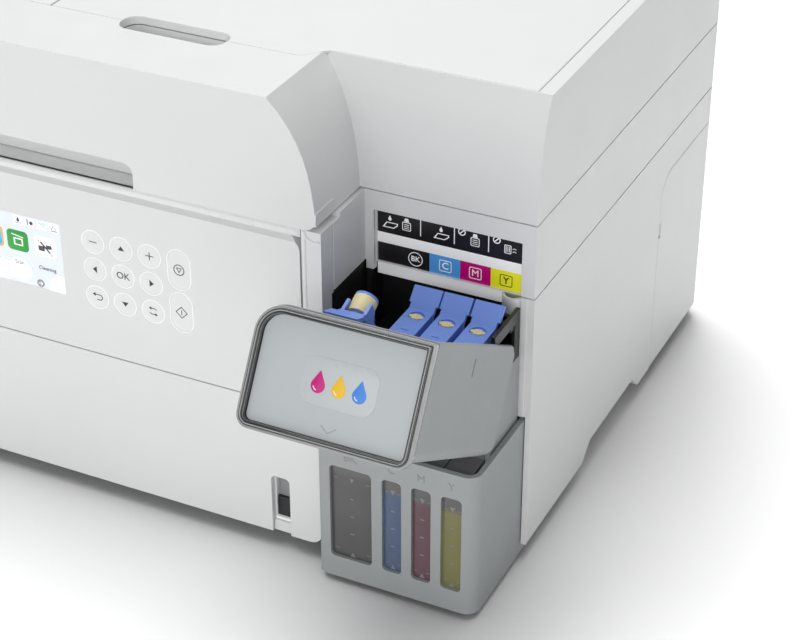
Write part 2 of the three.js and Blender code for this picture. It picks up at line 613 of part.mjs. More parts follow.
// ---------------------------------------------------------------- paper handling
function cassette() {
  const front = prismY(roundedRect(CASSETTE_FRONT.x, CASSETTE_FRONT.z, [2, 6, 1, 1]), CASSETTE_FRONT.y);
  const tub = cut(
    box(CASSETTE_BOX.x, CASSETTE_BOX.y, CASSETTE_BOX.z),
    box([-155.6, 97.6], [12, 232.6], [15.5, 70]),
  );
  const slot = prismY(roundedRect(LEVEL_SLOT.x, LEVEL_SLOT.z, [0, 0, 2.4, 2.4]), [-1, 3.5], 3);
  const slotWell = box([LEVEL_SLOT.x[0] + 0.8, LEVEL_SLOT.x[1] - 0.8], [3, 8], [16, 39]);
  return piece('cassette', cut(join(front, tub), slot, slotWell), 'shell');
}

function cassetteGuide() {
  const upright = box([58, 61], [60, 150], [15.8, 46]);
  const toe = box([46, 60], [60, 150], [15.8, 17.4]);
  return piece('cassette_guide', join(upright, toe), 'frameBlack');
}

function outputTray() {
  const plate = box([-118, 66], [14.5, 190], [83, 86.6]);
  const lip = box([-40, -10], [13.5, 16], [83, 88.6]);
  const lanes = [-90, -50, 0, 40].map((x) => box([x - 6, x + 6], [64, 184], [85.6, 90]));
  return piece('output_tray', cut(join(plate, lip), ...lanes), 'frameBlack');
}

function outputStop() {
  const plate = box([-60, 8], [19, 50], [87, 89.2]);
  return piece('output_stop', cut(plate, box([-50, -2], [26, 44], [86, 90])), 'frameBlack');
}

// ---------------------------------------------------------------- print mechanism
function carriageFrame() {
  const back = box([-183, 183], [150.8, 153], [100, 137]);
  const sideShape = outline([[92, 84], [153, 84], [153, 137], [118, 137], [118, 112], [92, 104]]);
  const sides = [prismX(sideShape, [-183, -180.8]), prismX(sideShape, [180.8, 183])];
  const through = [-190, 190];
  const solid = cut(
    join(back, ...sides),
    rodX(RAIL.y, RAIL.z, RAIL.r + 0.35, through, 20),
    rodX(FEED.y, FEED.z, 3.4, through, 16),
    rodX(EJECT.y, EJECT.z, 2.8, through, 16),
  );
  return piece('carriage_frame', solid, 'steel');
}

function carriageRail() {
  return piece('carriage_rail', rodX(RAIL.y, RAIL.z, RAIL.r, [-184.4, 184.4], 20), 'steel');
}

function carriage() {
  const body = prismX(outline([[106, 99], [138, 99], [138, 110], [147, 110], [147, 134], [112, 134], [106, 120]]), [112, 172]);
  const cartridgeWell = box([116, 168], [112, 121], [112, 140]);
  const bore = rodX(RAIL.y, RAIL.z, RAIL.r + 0.4, [100, 180], 20);
  return piece('carriage', cut(body, cartridgeWell, bore), 'frameBlack');
}

function platen() {
  const plate = box([-150, 103], [104, 137], [88, 93]);
  const ribs = Array.from({ length: 9 }, (_, i) => -140 + i * 29).map((x) => box([x, x + 2], [105, 136], [92, 96]));
  return piece('platen', join(plate, ...ribs), 'frameBlack');
}

function gearOutline(cy, cz, teeth, root, tip) {
  const points = [];
  for (let i = 0; i < teeth; i += 1) {
    const pitch = (2 * Math.PI) / teeth;
    for (const [part, r] of [[0, root], [0.3, root], [0.42, tip], [0.78, tip]]) {
      const a = (i + part) * pitch;
      points.push([cy + r * Math.cos(a), cz + r * Math.sin(a)]);
    }
  }
  return outline(points);
}

function feedRoller() {
  const shaft = rodX(FEED.y, FEED.z, 3, [-184.2, 184.2], 16);
  const tube = rodX(FEED.y, FEED.z, FEED.r, [-152, 108], 22);
  const gear = prismX(gearOutline(FEED.y, FEED.z, 18, 7.2, 8.6), [-178.5, -173]);
  return piece('feed_roller', join(shaft, tube, gear), 'steel');
}

function ejectRoller() {
  const shaft = rodX(EJECT.y, EJECT.z, 2.4, [-184.2, 184.2], 14);
  const tyres = [-120, -60, 0, 60].map((x) => rodX(EJECT.y, EJECT.z, EJECT.r, [x - 8, x + 8], 20));
  const gear = prismX(gearOutline(EJECT.y, EJECT.z, 14, 5.4, 6.6), [-178.5, -173]);
  return piece('eject_roller', join(shaft, ...tyres, gear), 'rubber');
}

// ---------------------------------------------------------------- rear cover
function rearCover() {
  const bump = prismX(roundedRect([REAR + GAP, 337], [24, 130], [0, 6, 10, 0]), [-154, 94]);
  const plug = box([-149.4, 89.4], [279, REAR + 1], [28.6, 125.4]);
  const hollow = box([-146, 86], [270, 333.5], [32, 122]);
  return piece('rear_cover', cut(join(bump, plug), hollow), 'shell');
}

// ---------------------------------------------------------------- assembly
const [black, ...colours] = INKS;
const printer = new THREE.Group();
printer.add(
  lowerCase(), maintenanceCover(), innerFrame(), maintenanceBox(), powerInlet(), ...feet(),
  tankHousing(), ...INKS.map(inkTank), portBlock(), lidCatch(),
  turned(CAP_PIVOT, CAP_OPEN, capLever(black)), ...colours.map(capLever),
  turned(LID_PIVOT, LID_OPEN, lidHood(), lidBezel(), lidFace()),
  scannerCase(), labelPlate(), scanRail(), scanBar(),
  coverShell(), documentMat(), adfCover(), adfInputTray(), adfDeck(),
  adfGuide('front', 60), adfGuide('rear', 250), adfFeedRoller(),
  panelHousing(), displayScreen(), ...keyPlaces().map(keyButton),
  cassette(), cassetteGuide(), outputTray(), outputStop(),
  carriageFrame(), carriageRail(), carriage(), platen(), feedRoller(), ejectRoller(),
  rearCover(),
);

// The glass rests in the scanner unit; the part's origin is the middle of its footprint on the table.
printer.add(piece('platen_glass', box(GLASS.x, GLASS.y, GLASS.z), 'glass'));
const size = new THREE.Box3().setFromObject(printer, true);
const middle = size.getCenter(new THREE.Vector3());
printer.position.set(-middle.x, -middle.y, -size.min.z);

export default printer;
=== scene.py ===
"""Looks of an ink-tank inkjet printer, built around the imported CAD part.

Sizes are in millimetres in a working frame: x = 0 on the middle of the case, y = 0 on the front plane of the
control panel, z = 0 on the table. TO_ROW turns that into the part's own frame in metres.
"""

import json
import math

import bmesh
import bpy
from mathutils import Matrix, Vector

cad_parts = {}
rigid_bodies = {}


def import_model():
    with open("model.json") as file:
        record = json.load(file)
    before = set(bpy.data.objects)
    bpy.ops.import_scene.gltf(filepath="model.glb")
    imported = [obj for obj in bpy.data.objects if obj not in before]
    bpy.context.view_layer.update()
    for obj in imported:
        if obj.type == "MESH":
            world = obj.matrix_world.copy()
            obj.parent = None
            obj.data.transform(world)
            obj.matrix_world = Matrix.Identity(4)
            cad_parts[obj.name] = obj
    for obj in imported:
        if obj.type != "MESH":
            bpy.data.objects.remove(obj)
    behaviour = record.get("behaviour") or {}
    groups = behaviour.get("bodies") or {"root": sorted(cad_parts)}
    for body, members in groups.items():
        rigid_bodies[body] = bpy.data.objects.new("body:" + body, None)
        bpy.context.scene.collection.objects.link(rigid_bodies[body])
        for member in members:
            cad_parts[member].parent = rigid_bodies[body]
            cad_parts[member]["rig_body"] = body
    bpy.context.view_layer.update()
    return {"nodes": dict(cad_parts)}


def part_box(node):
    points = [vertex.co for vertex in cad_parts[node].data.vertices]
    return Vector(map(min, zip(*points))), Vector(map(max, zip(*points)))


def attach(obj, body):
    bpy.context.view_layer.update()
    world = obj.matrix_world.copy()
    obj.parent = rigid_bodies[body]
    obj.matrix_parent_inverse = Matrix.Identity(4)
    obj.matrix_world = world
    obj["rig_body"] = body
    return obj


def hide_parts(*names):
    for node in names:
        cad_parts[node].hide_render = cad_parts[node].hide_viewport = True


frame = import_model()
NODES = frame["nodes"]

FRONT_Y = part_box("panel_housing")[0].y
TO_ROW = Matrix.Translation((0, FRONT_Y, 0)) @ Matrix.Scale(0.001, 4)
IDENTITY = Matrix.Identity(4)


def turn_about(axis, centre, degrees):
    """Turn about an axis through a point, in working millimetres."""
    there = Matrix.Translation(centre)
    return there @ Matrix.Rotation(math.radians(degrees), 4, axis) @ there.inverted()


# the tank lid and the black cap are drawn shut, then turned about their hinges to the rest pose
LID_TURN = turn_about("X", (0, -2, 93.4), 59.6)
CAP_TURN = turn_about("X", (0, -3, 130.5), 116)
INKS = [
    dict(name="black", letter="BK", port=129.9, window=(113.9, 134.4), sticker=(111.6, 136.6)),
    dict(name="cyan", letter="C", port=144.2, window=(139.5, 148.9), sticker=(136.6, 151.2)),
    dict(name="magenta", letter="M", port=158.4, window=(153.7, 163.1), sticker=(151.2, 165.6)),
    dict(name="yellow", letter="Y", port=172.8, window=(167.9, 177.7), sticker=(165.6, 180.4)),
]
PORT_Y = 14.5
CASE_BACK = 291

# ---------------------------------------------------------------- materials
GRAIN_DEPTH = 0.00012      # metres
GLOSS_DRIFT = 0.05


def new_material(name):
    material = bpy.data.materials.new(name)
    material.use_nodes = True
    tree = material.node_tree
    return material, tree, tree.nodes["Principled BSDF"]


def noise(tree, scale, detail, rough=0.5, stretch=None):
    coords = tree.nodes.new("ShaderNodeTexCoord")
    node = tree.nodes.new("ShaderNodeTexNoise")
    node.inputs["Scale"].default_value = scale
    node.inputs["Detail"].default_value = detail
    node.inputs["Roughness"].default_value = rough
    source = coords.outputs["Object"]
    if stretch:
        mapping = tree.nodes.new("ShaderNodeMapping")
        mapping.inputs["Scale"].default_value = stretch
        tree.links.new(source, mapping.inputs["Vector"])
        source = mapping.outputs["Vector"]
    tree.links.new(source, node.inputs["Vector"])
    return node.outputs["Fac"]


def ramp(tree, source, stops):
    node = tree.nodes.new("ShaderNodeValToRGB")
    elements = node.color_ramp.elements
    while len(elements) < len(stops):
        elements.new(0.5)
    for element, (place, colour) in zip(elements, stops):
        element.position = place
        element.color = (*colour, 1)
    tree.links.new(source, node.inputs["Fac"])
    return node.outputs["Color"]


def shade(colour, factor):
    return tuple(min(1.0, c * factor) for c in colour)


def span(tree, source, low, high):
    """A noise, which mostly lies between 0.3 and 0.7, spread from low to high."""
    node = tree.nodes.new("ShaderNodeMapRange")
    node.inputs["From Min"].default_value = 0.3
    node.inputs["From Max"].default_value = 0.7
    node.inputs["To Min"].default_value = low
    node.inputs["To Max"].default_value = high
    tree.links.new(source, node.inputs["Value"])
    return node.outputs["Result"]


def bump(tree, source, strength, distance):
    node = tree.nodes.new("ShaderNodeBump")
    node.inputs["Strength"].default_value = strength
    node.inputs["Distance"].default_value = distance
    tree.links.new(source, node.inputs["Height"])
    return node.outputs["Normal"]


def plastic(name, colour, rough, grain, grain_scale, vary, coat=0.0, metallic=0.0, stretch=None, glow=0.0):
    """Moulded plastic or metal: slow tone drift, drifting gloss and a fine moulded or brushed grain."""
    material, tree, shader = new_material(name)
    drift = noise(tree, 14, 4, 0.6)
    tone = ramp(tree, drift, [(0.3, shade(colour, 1 - vary)), (0.7, shade(colour, 1 + vary))])
    tree.links.new(tone, shader.inputs["Base Color"])
    gloss = noise(tree, 55, 5, 0.6, stretch)
    tree.links.new(span(tree, gloss, rough - GLOSS_DRIFT, rough + GLOSS_DRIFT), shader.inputs["Roughness"])
    fine = noise(tree, grain_scale, 2, 0.5, stretch)
    tree.links.new(bump(tree, fine, grain, GRAIN_DEPTH), shader.inputs["Normal"])
    shader.inputs["Metallic"].default_value = metallic
    shader.inputs["Coat Weight"].default_value = coat
    # glow adds emission: on the screen it is the display's own backlight, on white and coloured print it is
    # painted light that brightens them
    if glow:
        tree.links.new(tone, shader.inputs["Emission Color"])
        shader.inputs["Emission Strength"].default_value = glow
    return material


WHITE = plastic("white_shell", (0.745, 0.755, 0.755), 0.42, 0.35, 1500, 0.012)
WHITE_SMOOTH = plastic("white_smooth", (0.78, 0.79, 0.79), 0.3, 0.08, 1500, 0.012)
GREY = plastic("tank_grey", (0.33, 0.35, 0.355), 0.45, 0.35, 1500, 0.02)
FACE = plastic("lid_face_grey", (0.50, 0.535, 0.55), 0.4, 0.3, 1300, 0.015)
STICKER = plastic("sticker_grey", (0.54, 0.578, 0.595), 0.3, 0.1, 1600, 0.015)
BLACK = plastic("frame_black", (0.014, 0.014, 0.016), 0.42, 0.3, 1200, 0.2)
DARK = plastic("dark_grey", (0.05, 0.052, 0.055), 0.4, 0.3, 1200, 0.1)
BLUE = plastic("cap_blue", (0.18, 0.31, 0.80), 0.45, 0.25, 1500, 0.03)
CREAM = plastic("cap_cream", (0.76, 0.67, 0.38), 0.5, 0.2, 1500, 0.04)
RUBBER = plastic("rubber", (0.02, 0.02, 0.02), 0.75, 0.5, 900, 0.15)
STEEL = plastic("steel", (0.55, 0.56, 0.57), 0.28, 0.3, 700, 0.04, metallic=1.0, stretch=(1, 12, 12))
MAT = plastic("document_mat", (0.84, 0.84, 0.83), 0.7, 0.6, 500, 0.015)
# the light bezel grey is a painted highlight, standing in for reflections in the smoky clear rim
RIM_PAINTED_HIGHLIGHT = plastic("bezel_painted_highlight", (0.34, 0.35, 0.355), 0.18, 0.1, 900, 0.12, coat=0.6)
RIM_DARK = plastic("bezel_dark", (0.022, 0.024, 0.025), 0.12, 0.1, 900, 0.25, coat=0.8)
# dark print, and painted shade: the same black fills the vent slots and the screw heads' cross recesses
DARK_PRINT_AND_SHADE = plastic("dark_print_and_shade", (0.03, 0.03, 0.033), 0.5, 0.1, 1500, 0.15)
PRINT_GREY = plastic("print_grey", (0.26, 0.27, 0.275), 0.45, 0.1, 1500, 0.05)
PRINT_WHITE = plastic("print_white", (0.86, 0.87, 0.87), 0.45, 0.1, 1500, 0.015)
TRAY = plastic("tray_grey", (0.09, 0.092, 0.095), 0.45, 0.35, 1200, 0.06)
TANK = plastic("tank_milky", (0.20, 0.21, 0.215), 0.25, 0.15, 600, 0.05, coat=0.3)
LABEL_BLACK = plastic("label_black", (0.012, 0.010, 0.012), 0.35, 0.1, 1500, 0.2)
# this white's glow is painted light: it brightens the label band in the shaded bay, and with it every other
# part in this white
LABEL_WHITE = plastic("label_white", (0.90, 0.90, 0.91), 0.35, 0.1, 1500, 0.015, glow=0.15)
# the key rings' glow is painted light that brightens the white print
RING_WHITE = plastic("key_ring_white", (0.93, 0.94, 0.94), 0.3, 0.05, 1500, 0.01, glow=0.08)
# the embossed letters are moulded in the housing grey; this darker copy of it is painted shade that makes
# them stand out
LETTER_GREY_PAINTED_SHADE = plastic("tank_grey_letters_painted_shade", (0.25, 0.265, 0.27), 0.45, 0.2, 1500, 0.02)
WINDOW_MARK = plastic("window_mark", (0.21, 0.215, 0.22), 0.3, 0.05, 1500, 0.03)
DROP_AMBER = plastic("drop_amber", (0.90, 0.55, 0.02), 0.35, 0.1, 1500, 0.05)
DROP_BLUE = plastic("drop_blue", (0.06, 0.26, 0.78), 0.35, 0.1, 1500, 0.05)
SCREEN_WHITE = plastic("screen_white", (0.90, 0.91, 0.93), 0.2, 0.03, 1500, 0.01, glow=0.3)
SCREEN_BLUE_PALE = plastic("screen_blue_pale", (0.55, 0.75, 0.88), 0.2, 0.03, 1500, 0.02, glow=0.3)
SCREEN_BLUE = plastic("screen_blue", (0.05, 0.42, 0.80), 0.2, 0.03, 1500, 0.04, glow=0.3)
SCREEN_GREEN = plastic("screen_green", (0.01, 0.30, 0.03), 0.2, 0.03, 1500, 0.12, glow=0.25)
SCREEN_ORANGE = plastic("screen_orange", (0.86, 0.38, 0.03), 0.2, 0.03, 1500, 0.03, glow=0.3)
SCREEN_GREY = plastic("screen_grey", (0.30, 0.30, 0.32), 0.2, 0.03, 1500, 0.03, glow=0.1)
SCREEN = plastic("screen", (0.66, 0.72, 0.80), 0.1, 0.02, 400, 0.03, coat=0.8, glow=0.25)
SCREEN_INK = plastic("screen_ink", (0.06, 0.06, 0.075), 0.25, 0.03, 1500, 0.1)
# the cyan, magenta and yellow label prints glow a little: painted light that brightens them in the shaded bay
INK_PRINT = {
    "cyan": plastic("label_cyan", (0.08, 0.34, 0.80), 0.35, 0.1, 1500, 0.02, glow=0.08),
    "magenta": plastic("label_magenta", (0.56, 0.0, 0.19), 0.35, 0.1, 1500, 0.02, glow=0.05),
    "yellow": plastic("label_yellow", (0.88, 0.86, 0.02), 0.35, 0.1, 1500, 0.02, glow=0.08),
    "black": LABEL_BLACK,
}


def glass_material():
    material, tree, shader = new_material("platen_glass")
    tint = ramp(tree, noise(tree, 8, 2), [(0.3, (0.80, 0.88, 0.88)), (0.7, (0.86, 0.92, 0.92))])
    tree.links.new(tint, shader.inputs["Base Color"])
    tree.links.new(span(tree, noise(tree, 60, 3), 0.02, 0.06), shader.inputs["Roughness"])
    shader.inputs["Transmission Weight"].default_value = 0.9
    shader.inputs["IOR"].default_value = 1.5
    return material


GLASS = glass_material()
LEVEL_WOBBLE = 0.0006      # metres
LEVEL_FADE = (1.2, 1.8)    # millimetres below and above the level


def window_material(name, ink, milky, level):
    """A milky tank wall seen through its window: the ink's tint below the level, clear wall above it."""
    material, tree, shader = new_material(name)
    coords = tree.nodes.new("ShaderNodeTexCoord")
    split = tree.nodes.new("ShaderNodeSeparateXYZ")
    tree.links.new(coords.outputs["Object"], split.inputs["Vector"])
    wobble = tree.nodes.new("ShaderNodeMath")
    wobble.operation = "MULTIPLY_ADD"
    tree.links.new(noise(tree, 300, 2), wobble.inputs[0])
    wobble.inputs[1].default_value = LEVEL_WOBBLE
    tree.links.new(split.outputs["Z"], wobble.inputs[2])
    height = tree.nodes.new("ShaderNodeMapRange")
    height.inputs["From Min"].default_value = (level - LEVEL_FADE[0]) / 1000
    height.inputs["From Max"].default_value = (level + LEVEL_FADE[1]) / 1000
    tree.links.new(wobble.outputs[0], height.inputs["Value"])
    below = ramp(tree, noise(tree, 40, 3), [(0.3, shade(ink, 0.9)), (0.7, shade(ink, 1.08))])
    above = ramp(tree, noise(tree, 40, 3), [(0.3, shade(milky, 0.94)), (0.7, shade(milky, 1.05))])
    mix = tree.nodes.new("ShaderNodeMix")
    mix.data_type = "RGBA"
    tree.links.new(height.outputs["Result"], mix.inputs["Factor"])
    tree.links.new(below, mix.inputs["A"])
    tree.links.new(above, mix.inputs["B"])
    tree.links.new(mix.outputs["Result"], shader.inputs["Base Color"])
    tree.links.new(span(tree, noise(tree, 200, 3), 0.16, 0.26), shader.inputs["Roughness"])
    shader.inputs["Coat Weight"].default_value = 0.4
    return material


MILKY = (0.11, 0.11, 0.11)
WINDOWS = {
    "black": window_material("window_black", (0.085, 0.085, 0.085), MILKY, 60.5),
    "cyan": window_material("window_cyan", (0.075, 0.11, 0.20), MILKY, 57),
    "magenta": window_material("window_magenta", (0.125, 0.062, 0.078), MILKY, 56.5),
    "yellow": window_material("window_yellow", (0.18, 0.175, 0.065), MILKY, 56.5),
}

# ---------------------------------------------------------------- geometry helpers
ROUND_ANGLE = 34           # edges sharper than this are rounded, and shaded sharp
SHARP_ANGLE = 32
FLAT_ANGLE = 0.4           # faces within this angle are one flat
# points closer than this are merged, in the part's metres and in working millimetres
WELD_M, WELD_MM = 2e-6, 1e-4


def finish_piece(obj, material, body, nodes=(), sharp=SHARP_ANGLE):
    """Give a piece its material, shading and body, and hide the nodes it stands in for."""
    mesh = obj.data
    mesh.materials.clear()
    mesh.materials.append(material)
    for face in mesh.polygons:
        face.use_smooth = True
    mesh.set_sharp_from_angle(angle=math.radians(sharp))
    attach(obj, body)
    if nodes:
        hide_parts(*nodes)
    return obj


def link_mesh(name, mesh):
    obj = bpy.data.objects.new(name, mesh)
    bpy.context.scene.collection.objects.link(obj)
    return obj


def weight_normals(obj):
    weighted = obj.modifiers.new("weighted", "WEIGHTED_NORMAL")
    weighted.keep_sharp = True


def round_edges(obj, width, segments):
    bevel = obj.modifiers.new("round", "BEVEL")
    bevel.width = width * 0.001
    bevel.segments = segments
    bevel.limit_method = "ANGLE"
    bevel.angle_limit = math.radians(ROUND_ANGLE)
    bevel.use_clamp_overlap = True
    bevel.harden_normals = False
    weight_normals(obj)


def soften(node, material, width, segments):
    """A copy of a CAD node with its edges rounded, which stands in for it."""
    mesh = NODES[node].data.copy()
    bm = bmesh.new()
    bm.from_mesh(mesh)
    bmesh.ops.remove_doubles(bm, verts=bm.verts, dist=WELD_M)
    bmesh.ops.dissolve_limit(bm, angle_limit=math.radians(FLAT_ANGLE), verts=bm.verts, edges=bm.edges)
    bmesh.ops.recalc_face_normals(bm, faces=bm.faces)
    bm.to_mesh(mesh)
    bm.free()
    obj = link_mesh(f"{node}_skin", mesh)
    finish_piece(obj, material, NODES[node]["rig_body"], [node], ROUND_ANGLE)
    round_edges(obj, width, segments)
    return obj


def carve(obj, pockets):
    """Cut shallow pockets, given as (x, y, z) ranges in working millimetres, into a rounded piece."""
    bm = bmesh.new()
    for ranges in pockets:
        middle = Matrix.Translation([(a + b) / 2 for a, b in ranges])
        size = Matrix.Diagonal([b - a for a, b in ranges] + [1])
        cube = bmesh.ops.create_cube(bm, size=1)
        bmesh.ops.transform(bm, matrix=TO_ROW @ middle @ size, verts=cube["verts"])
    mesh = bpy.data.meshes.new("pockets")
    bm.to_mesh(mesh)
    bm.free()
    tool = link_mesh("pockets", mesh)
    cut = obj.modifiers.new("cut", "BOOLEAN")
    cut.operation = "DIFFERENCE"
    cut.solver = "EXACT"
    cut.object = tool
    graph = bpy.context.evaluated_depsgraph_get()
    carved = bpy.data.meshes.new_from_object(obj.evaluated_get(graph))
    obj.modifiers.clear()
    obj.data = carved
    bpy.data.objects.remove(tool)
    bpy.data.meshes.remove(mesh)
    carved.set_sharp_from_angle(angle=math.radians(ROUND_ANGLE))
    weight_normals(obj)


def rect(u, v, r=0.0, steps=6):
    """A rounded rectangle; r is one radius or four, from the lower left in increasing angle."""
    radii = list(r) if isinstance(r, (tuple, list)) else [r] * 4
    corners = [(u[0], v[0], 180), (u[1], v[0], 270), (u[1], v[1], 0), (u[0], v[1], 90)]
    points = []
    for (cu, cv, start), radius in zip(corners, radii):
        if radius <= 0:
            points.append((cu, cv))
            continue
        mu = cu + radius if cu == u[0] else cu - radius
        mv = cv + radius if cv == v[0] else cv - radius
        for i in range(steps + 1):
            a = math.radians(start + 90 * i / steps)
            points.append((mu + radius * math.cos(a), mv + radius * math.sin(a)))
    return points


def hollow_rect(u, v, wall, radii, steps=6):
    """A rounded rectangle and its hole, with a wall of even width; radii are the outer and inner corners'."""
    hole = rect((u[0] + wall, u[1] - wall), (v[0] + wall, v[1] - wall), radii[1], steps)
    return [rect(u, v, radii[0], steps), hole]


def on_circle(u, v, r, angle):
    """A point on a circle, at an angle in radians."""
    return (u + r * math.cos(angle), v + r * math.sin(angle))


def ring(u, v, r, count=40):
    return [on_circle(u, v, r, 2 * math.pi * i / count) for i in range(count)]


def arc(u, v, r, start, end, count):
    return [on_circle(u, v, r, math.radians(start + (end - start) * i / count)) for i in range(count + 1)]


def polygon(u, v, r, corners, start=90):
    return [on_circle(u, v, r, math.radians(start + 360 * i / corners)) for i in range(corners)]


def stroke(points, width):
    """Outline of an open line of the given width, with square ends."""
    half = width / 2
    left, right = [], []
    for i, (u, v) in enumerate(points):
        before = points[max(i - 1, 0)]
        after = points[min(i + 1, len(points) - 1)]
        du, dv = after[0] - before[0], after[1] - before[1]
        length = math.hypot(du, dv)
        nu, nv = -dv / length * half, du / length * half
        left.append((u + nu, v + nv))
        right.append((u - nu, v - nv))
    return left + right[::-1]


def shifted(shape, x, z):
    """A shape, one outline or a list of outlines, moved by (x, z)."""
    if isinstance(shape[0], list):
        return [shifted(loop, x, z) for loop in shape]
    return [(u + x, v + z) for u, v in shape]


PLANES = {
    # local (u, v, w) to working (x, y, z)
    "front": Matrix(((1, 0, 0, 0), (0, 0, -1, 0), (0, 1, 0, 0), (0, 0, 0, 1))),
    "top": Matrix.Identity(4),
    "rear": Matrix(((-1, 0, 0, 0), (0, 0, 1, 0), (0, 1, 0, 0), (0, 0, 0, 1))),
}


def slab(name, loops, plane, span_w, material, body, bevel, nodes=(), turn=IDENTITY, res=2):
    """A plate cut from closed outlines: the first is the edge, any others are holes.

    plane "front" takes (x, z) outlines and a depth from -y towards +y, given as (front y, back y);
    "top" takes (x, y) and (low z, high z); "rear" takes (-x, z) and (low y, high y).
    """
    low, high = span_w
    if plane == "front":
        low, high = -span_w[1], -span_w[0]
    bevel = min(bevel, (high - low) * 0.49)
    curve = bpy.data.curves.new(name, "CURVE")
    curve.dimensions = "2D"
    curve.fill_mode = "BOTH"
    curve.extrude = (high - low) / 2 - bevel
    curve.bevel_depth = bevel
    curve.bevel_resolution = res
    curve.offset = -bevel
    for loop in loops:
        spline = curve.splines.new("POLY")
        spline.points.add(len(loop) - 1)
        for point, (u, v) in zip(spline.points, loop):
            point.co = (u, v, 0, 1)
        spline.use_cyclic_u = True
    obj = bpy.data.objects.new(name, curve)
    bpy.context.scene.collection.objects.link(obj)
    return solidify_curve(obj, name, plane, (low + high) / 2, material, body, nodes, turn)


def solidify_curve(obj, name, plane, middle, material, body, nodes, turn):
    """The curve as a closed mesh, turned from its plane to its place."""
    graph = bpy.context.evaluated_depsgraph_get()
    mesh = bpy.data.meshes.new_from_object(obj.evaluated_get(graph))
    data = obj.data
    bpy.data.objects.remove(obj)
    bpy.data.curves.remove(data)
    bm = bmesh.new()
    bm.from_mesh(mesh)
    bmesh.ops.remove_doubles(bm, verts=bm.verts, dist=WELD_MM)
    bmesh.ops.dissolve_degenerate(bm, edges=bm.edges, dist=WELD_MM)
    bmesh.ops.recalc_face_normals(bm, faces=bm.faces)
    bm.to_mesh(mesh)
    bm.free()
    mesh.transform(TO_ROW @ turn @ PLANES[plane] @ Matrix.Translation((0, 0, middle)))
    mesh.name = name
    return finish_piece(link_mesh(name, mesh), material, body, nodes)


def words(name, text, size, place, plane, depth, material, body, bold=0.0):
    """Generic lettering as thin raised solids, centred on place = (u, v, w)."""
    curve = bpy.data.curves.new(name, "FONT")
    curve.body = text
    curve.size = size
    curve.align_x = "CENTER"
    curve.align_y = "CENTER"
    curve.extrude = depth / 2
    curve.offset = bold
    obj = bpy.data.objects.new(name, curve)
    bpy.context.scene.collection.objects.link(obj)
    u, v, w = place
    shift = PLANES[plane] @ Matrix.Translation((u, v, 0)) @ PLANES[plane].inverted()
    middle = -w if plane == "front" else w
    return solidify_curve(obj, name, plane, middle, material, body, (), shift)


AXES = {
    # a profile's height, along z, turned to the axis
    "z": IDENTITY,
    "y": Matrix.Rotation(math.radians(-90), 4, "X"),
}


def lathe(name, profile, centre, axis, material, body, steps=48, turn=IDENTITY):
    """A turned solid: profile is (radius, height), bottom to top on the axis, or a closed loop for a ring."""
    bm = bmesh.new()
    rings = []
    for radius, height in profile:
        if radius < 1e-6:
            rings.append([bm.verts.new((0, 0, height))])
        else:
            rings.append([bm.verts.new((*point, height)) for point in ring(0, 0, radius, steps)])
    for a, b in zip(rings, rings[1:]):
        for i in range(steps):
            j = (i + 1) % steps
            quad = [a[i % len(a)], a[j % len(a)], b[j % len(b)], b[i % len(b)]]
            face = [v for k, v in enumerate(quad) if v not in quad[:k]]
            if len(face) > 2:
                bm.faces.new(face)
    bmesh.ops.recalc_face_normals(bm, faces=bm.faces)
    mesh = bpy.data.meshes.new(name)
    bm.to_mesh(mesh)
    bm.free()
    mesh.transform(TO_ROW @ turn @ Matrix.Translation(centre) @ AXES[axis])
    return finish_piece(link_mesh(name, mesh), material, body)


def block(name, x, y, z, material, body, bevel, turn=IDENTITY, segments=3):
    """A box with rounded edges."""
    bm = bmesh.new()
    bmesh.ops.create_cube(bm, size=1)
    size = Matrix.Diagonal((x[1] - x[0], y[1] - y[0], z[1] - z[0], 1))
    place = Matrix.Translation(((x[0] + x[1]) / 2, (y[0] + y[1]) / 2, (z[0] + z[1]) / 2))
    bm.transform(place @ size)
    bmesh.ops.bevel(bm, geom=list(bm.edges), offset=bevel, segments=segments, profile=0.5, affect="EDGES")
    bmesh.ops.recalc_face_normals(bm, faces=bm.faces)
    mesh = bpy.data.meshes.new(name)
    bm.to_mesh(mesh)
    bm.free()
    mesh.transform(TO_ROW @ turn)
    return finish_piece(link_mesh(name, mesh), material, body)


def prints(name, shapes, plane, span_w, material, body):
    """Flat printed marks: each shape is one outline, or a list of an outline and its holes."""
    for i, shape in enumerate(shapes):
        loops = shape if isinstance(shape[0], list) else [shape]
        slab(f"{name}_{i}", loops, plane, span_w, material, body, 0.01, res=1)


